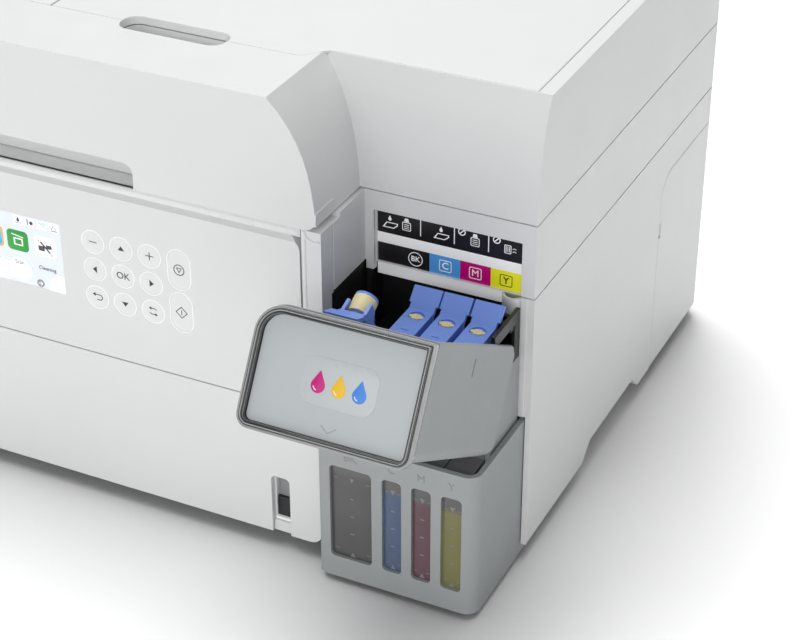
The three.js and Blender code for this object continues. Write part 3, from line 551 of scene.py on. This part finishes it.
# ---------------------------------------------------------------- rounded copies of the CAD solids
REAR_VENTS = [(-64.2 - 9 * i, -60.0 - 9 * i) for i in range(9)]
SIDE_VENTS = [(206 + 7 * i, 209.2 + 7 * i) for i in range(10)]
REAR_GROOVES = [(z, z + 1.2) for z in (40, 52, 64, 76, 88)]
GRIPS = [(-140, -112), (52, 80)]
POCKETS = {
    "cover_shell": [(x, (290.2, 292), (192, 214)) for x in REAR_VENTS],
    "lower_case": [((-188.5, -186.7), y, (60, 96)) for y in SIDE_VENTS],
    "rear_cover": [((-140, 80), (336.3, 338), z) for z in REAR_GROOVES]
    + [(x, (334.8, 338), (106, 116)) for x in GRIPS],
}
ROUNDED = [
    # material, slot, edge radius, segments, nodes
    (WHITE, "shell_white", 1.6, 4, ["cover_shell"]),
    (WHITE, "shell_white", 0.5, 3, ["adf_cover", "adf_input_tray"]),
    (WHITE, "shell_white", 0.8, 3, ["scanner_case", "lower_case"]),
    (WHITE, "shell_white", 0.7, 3, ["maintenance_cover"]),
    (WHITE, "shell_white", 1.2, 4, ["rear_cover"]),
    (WHITE, "shell_white", 0.5, 3, ["panel_housing"]),
    (WHITE, "shell_white", 0.7, 3, ["cassette"]),
    (GREY, "tank_grey", 0.7, 3, ["tank_housing"]),
    (GREY, "tank_grey", 0.4, 3, ["lid_hood"]),
    (FACE, "face_grey", 0.3, 3, ["lid_face"]),
    (LABEL_WHITE, "label_white", 0.2, 3, ["label_plate"]),
    (MAT, "mat_white", 0.2, 3, ["document_mat"]),
    (WHITE, "shell_white", 0.4, 3, ["adf_deck"]),
    (WHITE_SMOOTH, "shell_white", 0.25, 3, [node for node in NODES if node.startswith("button_")]),
    (BLACK, "frame_black", 0.4, 3, ["inner_frame", "port_block", "lid_catch", "platen", "carriage",
                                    "power_inlet", "output_stop", "adf_guide_front", "adf_guide_rear",
                                    "cassette_guide"]),
    (BLACK, "frame_black", 0.5, 3, ["scan_bar"]),
    (TRAY, "frame_black", 0.6, 3, ["output_tray"]),
    (STEEL, "steel", 0.25, 3, ["carriage_frame", "carriage_rail", "feed_roller", "scan_rail"]),
    (RUBBER, "rubber", 0.4, 3, ["eject_roller", "adf_feed_roller", "foot_front_left", "foot_front_right",
                                "foot_rear_left", "foot_rear_right"]),
    (TANK, "tank_clear", 0.5, 3, ["maintenance_box"] + [f"ink_tank_{ink['name']}" for ink in INKS]),
    (GLASS, "glass", 0.3, 3, ["platen_glass"]),
    (SCREEN, "screen", 0.2, 3, ["display_screen"]),
    (BLUE, "cap_blue", 0.3, 3, [f"cap_lever_{ink['name']}" for ink in INKS]),
]
for material, slot, width, segments, nodes in ROUNDED:
    for node in nodes:
        skin = soften(node, material, width, segments)
        if node in POCKETS:
            carve(skin, POCKETS[node])

# ---------------------------------------------------------------- tank lid
LID_X, LID_Y = (107.2, 184.4), (-12.6, 38.7)
LID_RADII = (6, 6, 1, 12)
RIM_FOOT = 172.1
DROP_Y = 11.2


def lid_plan(inset):
    """Plan of the clear rim, pulled in by an inset."""
    radii = [max(r - inset, 0.6) for r in LID_RADII]
    return rect((LID_X[0] + inset, LID_X[1] - inset), (LID_Y[0] + inset, LID_Y[1] - inset), radii, 10)


def lid_plate(name, loops, z, material, bevel, nodes=()):
    slab(name, loops, "top", z, material, "tank_lid", bevel, nodes, LID_TURN)


# the smoky clear rim drawn as flat bands: the light ones are painted highlights in place of the glass's
# reflections, the dark ones carry its tint
RIM_STEPS = [
    # inset, width, top, material
    (0.0, 1.15, 175.2, RIM_PAINTED_HIGHLIGHT),
    (1.15, 0.55, 176.1, RIM_DARK),
    (1.7, 0.45, 176.2, RIM_PAINTED_HIGHLIGHT),
    (2.15, 1.05, 175.3, RIM_DARK),
]
for i, (inset, width, top, material) in enumerate(RIM_STEPS):
    loops = [lid_plan(inset), lid_plan(inset + width)]
    lid_plate(f"lid_rim_{i}", loops, (RIM_FOOT, top), material, 0.2, ["lid_bezel"])
sticker = rect((131.2, 164.2), (3.4, 22.6), 5.5, 10)
lid_plate("lid_sticker", [sticker], (172.9, 173.12), STICKER, 0.06)
for i, (x, material) in enumerate([(138.6, INK_PRINT["magenta"]), (147.7, DROP_AMBER), (156.8, DROP_BLUE)]):
    tip = [(x + 1.6, DROP_Y + 3.4), (x, DROP_Y + 6.2), (x - 1.6, DROP_Y + 3.4)]
    drop = arc(x, DROP_Y, 3.1, -200, 20, 20) + tip
    lid_plate(f"lid_drop_{i}", [drop], (173.05, 173.18), material, 0.02)
    glint = stroke(arc(x, DROP_Y, 2.0, 195, 260, 8), 0.45)
    lid_plate(f"lid_drop_glint_{i}", [glint], (173.1, 173.22), PRINT_WHITE, 0.02)
chevron = stroke([(143.4, -3.7), (146.9, -6.3), (150.4, -3.7)], 0.42)
lid_plate("lid_chevron", [chevron], (172.9, 173.06), GREY, 0.02)

# ---------------------------------------------------------------- ink tank windows
WINDOW_Z = (14.9, 64.9)
LEVEL_LINES = (57.7, 19.0)
TICKS = (47.7, 38.1, 28.4)
for ink in INKS:
    name, (x0, x1) = ink["name"], ink["window"]
    middle = (x0 + x1) / 2
    outline = rect((x0 - 0.1, x1 + 0.1), WINDOW_Z, 2.1)
    slab(f"window_{name}", [outline], "front", (-8.6, -7.35), WINDOWS[name], "case", 0.25)
    marks = [
        [(middle - 1.3, 59.0), (middle + 1.3, 59.0), (middle, 56.4)],
        [(middle - 1.3, 15.7), (middle + 1.3, 15.7), (middle, 18.2)],
    ]
    marks += [rect((middle - 1.0, middle + 1.0), (z - 0.35, z + 0.35), 0.3, 3) for z in TICKS]
    reach = min(2.4, (x1 - x0) / 2 - 3.2)
    for z in LEVEL_LINES:
        marks.append(rect((x0 + 1.0, x0 + 1.0 + reach), (z - 0.18, z + 0.18)))
        marks.append(rect((x1 - 1.0 - reach, x1 - 1.0), (z - 0.18, z + 0.18)))
    prints(f"window_mark_{name}", marks, "front", (-8.68, -8.5), WINDOW_MARK, "case")
    place = (middle, 70.6, -10.24)
    # the raised letters carry painted shade: a darker copy of the housing grey
    words(f"tank_letter_{name}", ink["letter"], 5.4, place, "front", 0.16, LETTER_GREY_PAINTED_SHADE, "case")

# ---------------------------------------------------------------- cap levers and filler collars
# turned profiles are (radius, height); the bar's outline is measured from the port's middle
PLUG = [(0, 121.95), (4.2, 121.95), (4.7, 122.4), (5.28, 123.4), (5.28, 131.2), (0, 131.2)]
DISC = [(0, 134.0), (3.62, 134.0), (3.62, 134.42), (3.3, 134.6), (0, 134.6)]
DOT = [(0, 134.4), (1.5, 134.4), (1.5, 135.2), (1.1, 135.5), (0.5, 135.5), (0.35, 135.3), (0, 135.3)]
COLLAR = [(5.0, 108.6), (6.02, 108.6), (6.02, 120.6), (5.6, 121.35), (5.0, 121.35), (4.75, 121.0),
          (4.75, 108.6), (5.0, 108.6)]
BAR = [(-3.4, -0.6), (-1.9, -1.0), (-1.2, -2.0), (1.2, -2.0), (1.9, -1.2), (3.4, -0.6),
       (3.4, 0.6), (1.9, 1.0), (1.2, 2.0), (-1.2, 2.0), (-1.9, 1.2), (-3.4, 0.6)]
for ink in INKS:
    name, x = ink["name"], ink["port"]
    turn = CAP_TURN if name == "black" else IDENTITY
    body = f"cap_{name}"
    centre = (x, PORT_Y, 0)
    lathe(f"cap_plug_{name}", PLUG, centre, "z", CREAM, body, turn=turn)
    lathe(f"cap_disc_{name}", DISC, centre, "z", BLUE, body, turn=turn)
    bar = [(x + u, PORT_Y + v) for u, v in BAR]
    slab(f"cap_bar_{name}", [bar], "top", (134.4, 135.25), CREAM, body, 0.22, turn=turn)
    lathe(f"cap_dot_{name}", DOT, centre, "z", CREAM, body, 28, turn)
    bump = arc(x, 2.6, 1.7, 0, 180, 14)
    slab(f"cap_bump_{name}", [bump], "top", (135.0, 135.5), BLUE, body, 0.16, turn=turn)
    lathe(f"port_collar_{name}", COLLAR, centre, "z", DARK, "case")

# ---------------------------------------------------------------- label behind the ports
LABEL_X = (111.7, 180.3)
LABEL_FACE = (43.86, 44.02)
SIGN_FACE = (43.8, 43.95)
LETTER_Z = 144.3


def label_band(name, x, z, material):
    slab(f"label_{name}", [rect(x, z)], "front", LABEL_FACE, material, "scanner", 0.02)


label_band("top_band", LABEL_X, (154.2, 165.3), LABEL_BLACK)
label_band("middle_band", LABEL_X, (149.1, 154.2), LABEL_WHITE)
for ink in INKS:
    name, (x0, x1), x = ink["name"], ink["sticker"], ink["port"]
    label_band(name, (max(x0, LABEL_X[0]), min(x1, LABEL_X[1])), (139.8, 149.1), INK_PRINT[name])
    line = LABEL_BLACK if name == "yellow" else LABEL_WHITE
    if name == "black":
        outline = [ring(x, LETTER_Z, 3.5), ring(x, LETTER_Z, 3.1)]
    else:
        outline = hollow_rect((x - 2.95, x + 2.95), (141.5, 147.2), 0.35, (0.9, 0.6))
    slab(f"label_frame_{name}", outline, "front", SIGN_FACE, line, "scanner", 0.01)
    size = 3.6 if name == "black" else 4.6
    bold = 0.0 if name == "magenta" else 0.06
    place = (x, LETTER_Z, 43.86)
    words(f"label_letter_{name}", ink["letter"], size, place, "front", 0.12, line, "scanner",
          bold)
dividers = [rect((x - 0.22, x + 0.22), (156.4, 164.6)) for x in (132.3, 148.3, 164.3)]
prints("label_divider", dividers, "front", SIGN_FACE, LABEL_WHITE, "scanner")


def no_sign(x, z):
    slash = stroke([(x - 0.95, z - 0.95), (x + 0.95, z + 0.95)], 0.5)
    return [[ring(x, z, 1.8, 28), ring(x, z, 1.3, 28)], slash]


def small_bottle(x, z):
    body = hollow_rect((x - 2.1, x + 2.1), (z - 3.0, z + 1.2), 0.35, (0.6, 0.4), 3)
    lines = [rect((x - 1.2, x + 1.2), (z - h, z - h + 0.3)) for h in (0.2, 1.1, 2.0)]
    neck = [(x - 1.2, z + 1.4), (x + 1.2, z + 1.4), (x + 0.8, z + 3.0), (x - 0.8, z + 3.0)]
    return [body] + lines + [neck]


def small_cap(x, z):
    body = hollow_rect((x - 1.6, x + 1.6), (z - 2.6, z + 1.6), 0.35, (0.4, 0.3), 3)
    ribs = [rect((x - 0.9 + d, x - 0.6 + d), (z - 1.8, z + 0.9)) for d in (0.0, 0.75, 1.5)]
    waves = [stroke([(x + 2.2, z + h), (x + 3.0, z + h + 0.4), (x + 3.9, z + h)], 0.3) for h in (-1.4, 0.0)]
    return [body] + ribs + waves


def small_tank(x, z):
    outline = [(-3.6, -2.4), (1.8, -2.4), (3.8, -0.8), (3.8, 0.4), (-1.6, 0.4)]
    hole = [(-2.6, -2.0), (1.6, -2.0), (3.3, -0.6), (3.3, 0.0), (-1.4, 0.0)]
    drop = arc(0, 2.0, 0.8, -200, 20, 10) + [(0, 3.8)]
    return [shifted([outline, hole], x, z), shifted(drop, x, z)]


pictograms = no_sign(151.8, 163.2) + small_bottle(158.0, 160.6)
pictograms += no_sign(168.0, 163.2) + small_cap(173.2, 160.4)
pictograms += small_tank(142.0, 159.6) + small_bottle(125.6, 160.4) + small_tank(117.6, 159.4)
prints("label_sign", pictograms, "front", SIGN_FACE, LABEL_WHITE, "scanner")
lip = [rect((110.6, 181.1), (139.2, 166.5), 1.2), rect((111.6, 180.5), (139.75, 165.5), 0.4)]
slab("label_lip", lip, "front", (42.9, 44.1), WHITE_SMOOTH, "scanner", 0.3)

# ---------------------------------------------------------------- control panel keys
KEY_ROWS = {141.5: ("minus", "up", "plus"), 127.5: ("left", "ok", "right"), 113.0: ("back", "down", "help")}
KEYS = {name: (x, z) for z, names in KEY_ROWS.items() for name, x in zip(names, (-8.2, 6.5, 21.2))}
PILLS = {"stop": (36.1, 138.15), "start": (36.1, 116.35)}
PILL_HALF_HEIGHT = 10.4
RING_RADIUS, RING_WIDTH = 6.05, 0.51


def key_ring(name, loops):
    slab(f"key_ring_{name}", loops, "front", (-0.06, 0.5), RING_WHITE, "control_panel", 0.12)


def key_print(name, shapes):
    """Marks on a key, drawn about its middle."""
    x, z = {**KEYS, **PILLS}[name]
    marks = [shifted(shape, x, z) for shape in shapes]
    prints(f"key_sign_{name}", marks, "front", (-0.02, 0.12), DARK_PRINT_AND_SHADE, f"button_{name}")


for name, (x, z) in KEYS.items():
    key_ring(name, [ring(x, z, RING_RADIUS, 48), ring(x, z, RING_RADIUS - RING_WIDTH, 48)])
for name, (x, z) in PILLS.items():
    wide, tall = (x - RING_RADIUS, x + RING_RADIUS), (z - PILL_HALF_HEIGHT, z + PILL_HALF_HEIGHT)
    key_ring(name, hollow_rect(wide, tall, RING_WIDTH, (6.04, 5.53), 14))

bar_across = rect((-2, 2), (-0.2, 0.2))
bar_upright = rect((-0.2, 0.2), (-2, 2))
key_print("minus", [bar_across])
key_print("plus", [bar_across, bar_upright])
key_print("up", [[(-1.7, -0.9), (1.7, -0.9), (0, 1.3)]])
key_print("down", [[(-1.7, 1.0), (0, -1.2), (1.7, 1.0)]])
key_print("left", [[(-1.3, 0), (0.9, -1.7), (0.9, 1.7)]])
key_print("right", [[(1.3, 0), (-0.9, 1.7), (-0.9, -1.7)]])
words("key_sign_ok", "OK", 4.7, (*KEYS["ok"], 0.02), "front", 0.12, DARK_PRINT_AND_SHADE, "button_ok")
hook = [(-1.9, 1.3), (1.3, 1.3)] + arc(1.3, 0, 1.3, 90, -90, 8) + [(-0.4, -1.3)]
key_print("back", [stroke(hook, 0.4), [(-2.4, 1.3), (-1.0, 2.3), (-1.0, 0.3)]])
turn_over = [stroke([(-1.6, 1.6), (1.0, 1.6), (1.8, 1.0)], 0.4), [(-2.2, 1.6), (-1.0, 2.4), (-1.0, 0.8)]]
turn_back = [stroke([(1.6, -1.4), (-1.0, -1.4), (-1.8, -0.8)], 0.4), [(2.2, -1.4), (1.0, -0.6), (1.0, -2.2)]]
key_print("help", turn_over + turn_back)
triangle = [polygon(0, 0.2, 1.75, 3, 270), polygon(0, 0.2, 1.1, 3, 270)]
key_print("stop", [[ring(0, 0, 2.75), ring(0, 0, 2.35)], triangle])
diamond = [polygon(0, 0, 3.1, 4), polygon(0, 0, 2.55, 4)]
key_print("start", [diamond, rect((-0.18, 0.18), (-1.25, 1.25))])

# ---------------------------------------------------------------- screen
SCREEN_LAYER = (0.06, 0.2)


def screen_print(name, shapes, material, lift=0.0):
    layer = (SCREEN_LAYER[0] - lift, SCREEN_LAYER[1])
    prints(f"screen_{name}", shapes, "front", layer, material, "control_panel")


def icon(name, x, z, material, lift):
    screen_print(f"icon_{name}", [rect(x, z, 2.2)], material, lift)


cloud = [rect((-73.9, -52.0), (110.1, 121.6), (0.1, 6, 9, 0.1)), ring(-49.5, 117.2, 6.4)]
screen_print("cloud", cloud, SCREEN_WHITE)
screen_print("cloud_rim", [[ring(-49.5, 117.2, 6.9), ring(-49.5, 117.2, 6.4)]], SCREEN_BLUE_PALE)
screen_print("corner", [arc(-25.7, 109.9, 9.0, 180, 90, 14) + [(-25.7, 109.9)]], SCREEN_WHITE)
tiles = [rect((x - 2.5, x + 2.5), (141.2, 145.6), 0.3, 3) for x in (-48.1, -41.6, -35.2, -28.8)]
screen_print("tile", tiles, SCREEN_WHITE, 0.01)
ink_drop = arc(-48.1, 143.1, 0.8, -200, 20, 10) + [(-48.1, 145.0)]
ink_dish = stroke([(-49.6, 142.6), (-49.6, 141.8), (-46.6, 141.8), (-46.6, 142.6)], 0.3)
sound = [rect((-43.3, -42.7), (141.9, 145.0)), ring(-41.0, 143.1, 1.0, 20)]
roof = [stroke([(-30.2, 142.4), (-28.9, 144.6), (-27.5, 142.4)], 0.35), rect((-30.4, -27.2), (141.6, 142.0))]
screen_print("tile_glyph", [ink_drop, ink_dish] + sound + roof, SCREEN_INK, 0.03)
radio_waves = [stroke(arc(-34.9, 142.2, r, 40, 140, 8), 0.32) for r in (0.9, 1.7, 2.5)]
screen_print("tile_wave", radio_waves, SCREEN_BLUE, 0.03)

icon("copy", (-69.0, -57.4), (126.9, 137.7), SCREEN_ORANGE, 0.01)
screen_print("icon_copy_core", [rect((-68.2, -58.2), (127.7, 136.9), 1.7)], SCREEN_BLUE, 0.03)
sheet = hollow_rect((-66.2, -61.8), (129.6, 134.4), 0.5, (0.3, 0.2), 3)
sheet_behind = stroke([(-61.2, 130.8), (-60.4, 130.8), (-60.4, 135.6), (-64.6, 135.6), (-64.6, 135.0)], 0.45)
screen_print("icon_copy_glyph", [sheet, sheet_behind], SCREEN_WHITE, 0.05)
icon("scan", (-55.2, -43.7), (126.9, 137.5), SCREEN_GREEN, 0.01)
scanner_box = [rect((-51.6, -46.6), (129.8, 133.6), 0.3, 3), rect((-50.9, -47.3), (130.4, 133.0), 0.2, 3)]
scanner_lid = stroke([(-52.6, 135.3), (-46.2, 134.3)], 0.5)
screen_print("icon_scan_glyph", [scanner_box, scanner_lid], SCREEN_WHITE, 0.04)
icon("care", (-40.3, -28.5), (127.1, 137.6), SCREEN_WHITE, 0.02)
wand = stroke([(-36.9, 134.6), (-31.9, 129.6)], 0.9)
heads = [rect((-38.2, -34.8), (130.0, 132.6), 0.3, 3), rect((-34.0, -31.0), (131.6, 133.6), 0.3, 3)]
screen_print("icon_care_glyph", [wand] + heads, SCREEN_INK, 0.04)
sparks = [polygon(x, z, r, 4) for x, z, r in ((-37.8, 134.9, 0.7), (-31.2, 128.6, 0.6), (-38.6, 129.0, 0.5))]
screen_print("icon_care_spark", sparks, SCREEN_ORANGE, 0.05)

screen_print("arrow", [ring(-39.0, 112.3, 2.0)], SCREEN_GREY, 0.02)
shaft = stroke([(-40.2, 112.3), (-38.1, 112.3)], 0.4)
head = stroke([(-38.9, 113.3), (-37.9, 112.3), (-38.9, 111.3)], 0.4)
screen_print("arrow_glyph", [shaft, head], SCREEN_WHITE, 0.04)
for name, text, x in (("copy", "Copy", -63.2), ("scan", "Scan", -49.6), ("care", "Cleaning", -34.4)):
    place = (x, 120.9, 0.04)
    words(f"screen_word_{name}", text, 2.7, place, "front", 0.06, SCREEN_INK, "control_panel")
slab("screen_frame", hollow_rect((-74.75, -24.95), (109.25, 146.65), 0.65, (0.8, 0.3)), "front", (-0.04, 0.6),
     WHITE_SMOOTH, "control_panel", 0.15)

# ---------------------------------------------------------------- trim round the control panel
block("panel_bead", (-187.2, 96.7), (0.1, 4.4), (169.0, 172.9), WHITE_SMOOTH, "scanner", 1.5,
      segments=5)
block("pillar_bead", (97.25, 99.7), (0.15, 4.0), (82.8, 172.7), WHITE_SMOOTH, "case", 1.0,
      segments=4)
pillar_lip = stroke(arc(103.4, 173.0, 5.0, 185, 300, 16), 1.1)
slab("pillar_lip", [pillar_lip], "front", (0.1, 1.8), WHITE_SMOOTH, "case", 0.4)

# ---------------------------------------------------------------- paper level gauge on the cassette
block("level_back", (78.9, 87.1), (5.4, 6.6), (27.2, 39.0), PRINT_GREY, "cassette", 0.2)
block("level_flag", (79.2, 86.8), (4.0, 6.8), (16.6, 27.3), BLACK, "cassette", 0.3)
block("level_foot", (78.6, 87.4), (1.2, 3.0), (9.6, 15.6), WHITE, "cassette", 0.4)
block("level_step", (78.7, 87.3), (2.4, 4.6), (14.0, 16.7), LABEL_WHITE, "cassette", 0.4)

# ---------------------------------------------------------------- scanner
border = [rect((-158, 158), (47.5, 282.5), 3), rect((-149.4, 149.4), (55.6, 274.4), 1)]
slab("glass_border", border, "top", (175.15, 175.34), PRINT_GREY, "scanner", 0.04)
corner_mark = [(-158.0, 276.0), (-152.4, 276.0), (-155.2, 281.2)]
slab("glass_corner_mark", [corner_mark], "top", (175.3, 175.42), DARK_PRINT_AND_SHADE, "scanner", 0.02)
SCAN_Y = (64, 266)
block("scan_lamp", (-170.4, -168.8), SCAN_Y, (165.6, 166.9), PRINT_WHITE, "scan_bar", 0.3)
block("scan_lens", (-167.2, -158.4), SCAN_Y, (163.2, 166.3), DARK, "scan_bar", 0.4)

# ---------------------------------------------------------------- print carriage
CARTRIDGE_X, CARTRIDGE_PITCH, CARTRIDGE_WIDTH = 117.0, 12.7, 12.0
block("carriage_belt", (-176, 176), (149.9, 150.9), (125.0, 130.0), RUBBER, "case", 0.2)
for i, ink in enumerate(INKS):
    name = ink["name"]
    x0 = CARTRIDGE_X + i * CARTRIDGE_PITCH
    x = (x0, x0 + CARTRIDGE_WIDTH)
    block(f"cartridge_{name}", x, (112.6, 120.4), (113.0, 131.5), DARK, "carriage", 0.8)
    mark = rect((x0 + 2.2, x0 + 9.8), (114.2, 118.8), 0.8)
    material = PRINT_GREY if name == "black" else INK_PRINT[name]
    slab(f"cartridge_mark_{name}", [mark], "top", (131.4, 131.7), material, "carriage", 0.05)

# ---------------------------------------------------------------- output tray
TRAY_RIBS = [-104 + 20 * i for i in range(9)]
for i, x in enumerate(TRAY_RIBS):
    rib = (x - 0.7, x + 0.7)
    block(f"tray_rib_{i}", rib, (18, 60), (86.4, 86.9), TRAY, "output_tray", 0.2)
block("tray_grip", (-38, -12), (13.3, 15.6), (86.2, 88.9), DARK, "output_tray", 0.7)
tray_arrow = [(-32, 22), (-18, 22), (-25, 17)]
slab("tray_arrow", [tray_arrow], "top", (86.6, 86.75), PRINT_GREY, "output_tray", 0.03)

# ---------------------------------------------------------------- document feeder
FEED_AXIS = (-92, 0, 203)
FEED_RIBS = 12
DECK_PRINT = (208.0, 208.12)
for i, (y0, y1) in enumerate(((110, 140), (166, 196))):
    tyre = [(0, y0 - 0.1), (8.6, y0 - 0.1), (9.12, y0 + 0.6),
            (9.12, y1 - 0.6), (8.6, y1 + 0.1), (0, y1 + 0.1)]
    lathe(f"feed_tyre_{i}", tyre, FEED_AXIS, "y", RUBBER, "adf_feed_roller")
    for k in range(FEED_RIBS):
        turn = turn_about("Y", FEED_AXIS, 360 / FEED_RIBS * k)
        block(f"feed_rib_{i}_{k}", (-92.35, -91.65), (y0 + 1, y1 - 1), (211.6, 212.5), DARK,
              "adf_feed_roller", 0.2, turn)
size_marks = [rect((-36 + 12 * i, -35.5 + 12 * i), (120, 126 + 4 * (i % 2))) for i in range(6)]
prints("deck_mark", size_marks, "top", DECK_PRINT, PRINT_GREY, "document_cover")
deck_arrow = [(-50, 156), (-50, 148), (-57, 152)]
slab("deck_arrow", [deck_arrow], "top", DECK_PRINT, PRINT_GREY, "document_cover", 0.02)
words("deck_size", "A4", 9, (60, 152, 208.05), "top", 0.12, PRINT_GREY, "document_cover")

# ---------------------------------------------------------------- rear and sides
block("port_usb", (112, 124), (289.4, 291.25), (58, 69), BLACK, "case", 0.4)
block("port_usb_core", (114.4, 121.6), (290.9, 291.4), (61.0, 66.2), LABEL_WHITE, "case", 0.15)
block("port_network", (130, 146), (289.4, 291.25), (56, 70), BLACK, "case", 0.4)
network_frame = [rect((-145.2, -130.8), (57.2, 69.0), 0.6), rect((-143.6, -132.4), (58.4, 66.6), 0.3)]
slab("port_network_frame", network_frame, "rear", (291.1, 291.5), PRINT_GREY, "case", 0.1)
rating_plate = rect((-150, -104), (84, 118), 1.5)
slab("rating_plate", [rating_plate], "rear", (290.95, 291.15), LABEL_WHITE, "case", 0.04)
rating_lines = [rect((-146, -112 - 6 * (i % 3)), (112 - 4.6 * i, 113.1 - 4.6 * i)) for i in range(6)]
prints("rating_line", rating_lines, "rear", (291.1, 291.22), PRINT_GREY, "case")
# a dark plate at the bottom of each vent pocket is painted shade, standing in for the dark inside seen
# through the slots
for i, x in enumerate(REAR_VENTS):
    wide = (x[0] - 0.2, x[1] + 0.2)
    block(f"rear_vent_{i}", wide, (290.0, 290.4), (191.8, 214.2), DARK_PRINT_AND_SHADE, "document_cover",
          0.1)
# the side vents' dark plates are painted shade as well
for i, y in enumerate(SIDE_VENTS):
    wide = (y[0] - 0.2, y[1] + 0.2)
    block(f"side_vent_{i}", (-186.9, -186.5), wide, (59.8, 96.2), DARK_PRINT_AND_SHADE, "case", 0.1)

SCREW_HEAD = [(0, -0.3), (3.4, -0.3), (3.4, 0.12), (2.6, 0.3), (0, 0.3)]
SCREWS = [(-170, 60, "case"), (-170, 120, "case"), (150, 130, "case"), (104, 32, "case"),
          (-172, 158, "scanner"), (172, 158, "scanner")]
for i, (x, z, body) in enumerate(SCREWS):
    lathe(f"screw_{i}", SCREW_HEAD, (x, CASE_BACK, z), "y", STEEL, body, 24)
    # each head's cross recess is painted shade: a flat dark cross laid on the head
    for k, (w, h) in enumerate(((2.0, 0.28), (0.28, 2.0))):
        cross = rect((-x - w, -x + w), (z - h, z + h))
        depth = (CASE_BACK + 0.2, CASE_BACK + 0.36)
        slab(f"screw_{i}_slot_{k}", [cross], "rear", depth, DARK_PRINT_AND_SHADE, body, 0.02)

# ---------------------------------------------------------------- stage, in metres
WORLD_LIGHT = 0.29
FLOOR_SIZE = 14


def stage_plane():
    material, tree, shader = new_material("pale_floor")
    tone = ramp(tree, noise(tree, 1.2, 2), [(0.3, (0.92, 0.92, 0.92)), (0.7, (0.95, 0.95, 0.95))])
    tree.links.new(tone, shader.inputs["Base Color"])
    shader.inputs["Roughness"].default_value = 0.7
    bpy.ops.mesh.primitive_plane_add(size=FLOOR_SIZE, location=(0, 2.5, 0))
    floor = bpy.context.object
    floor.name = "floor"
    floor.data.materials.append(material)
    return floor


def area_light(name, place, target, size, power):
    data = bpy.data.lights.new(name, "AREA")
    data.shape = "RECTANGLE"
    data.size, data.size_y = size
    data.energy = power
    obj = bpy.data.objects.new(name, data)
    obj.location = place
    obj.rotation_euler = (Vector(target) - Vector(place)).to_track_quat("-Z", "Y").to_euler()
    bpy.context.scene.collection.objects.link(obj)
    return obj


def link_light(lamp, receiver, state):
    """Make a lamp light only the receiver, or everything but the receiver."""
    group = bpy.data.collections.new(f"{lamp.name}_receivers")
    group.objects.link(receiver)
    group.collection_objects[0].light_linking.link_state = state
    lamp.light_linking.receiver_collection = group


def studio(floor):
    """An even world, two lamps for everything, two that leave out the floor and one for the floor alone."""
    world = bpy.data.worlds.new("studio")
    world.use_nodes = True
    background = world.node_tree.nodes["Background"]
    background.inputs["Color"].default_value = (1, 1, 1, 1)
    background.inputs["Strength"].default_value = WORLD_LIGHT
    bpy.context.scene.world = world
    area_light("top_soft", (-0.5, 0.6, 1.8), (0, 0, 0.1), (1.4, 1.4), 30)
    area_light("rear_rim", (-0.4, 1.8, 1.4), (0, 0, 0.2), (1.2, 1.2), 2.5)
    front = area_light("front_soft", (0.0, -2.3, 0.9), (0, 0, 0.12), (2.0, 1.2), 13)
    link_light(front, floor, "EXCLUDE")
    bay = area_light("bay_soft", (0.45, -1.3, 0.75), (0.14, -0.15, 0.14), (0.5, 0.4), 3.5)
    link_light(bay, floor, "EXCLUDE")
    floor_lamp = area_light("floor_soft", (-0.3, 0.0, 2.3), (0, -0.2, 0), (2.4, 2.4), 44)
    link_light(floor_lamp, floor, "INCLUDE")


# fitted to the photo; the place is in working millimetres
CAMERA_PLACE = (462.5, -660.0, 591.25)
AZIMUTH, ELEVATION, ROLL = (math.radians(a) for a in (25.791, 31.55, -0.063))
LENS, SENSOR = 92.7, 36


def camera():
    data = bpy.data.cameras.new("camera")
    data.sensor_width = SENSOR
    data.lens = LENS
    data.clip_start = 0.05
    obj = bpy.data.objects.new("camera", data)
    level = math.cos(ELEVATION)
    aim = Vector((-math.sin(AZIMUTH) * level, math.cos(AZIMUTH) * level, -math.sin(ELEVATION)))
    turn = aim.to_track_quat("-Z", "Y").to_matrix().to_4x4() @ Matrix.Rotation(ROLL, 4, "Z")
    obj.matrix_world = Matrix.Translation(TO_ROW @ Vector(CAMERA_PLACE)) @ turn
    bpy.context.scene.collection.objects.link(obj)
    bpy.context.scene.camera = obj


studio(stage_plane())
camera()
bpy.context.scene.view_settings.view_transform = "Standard"
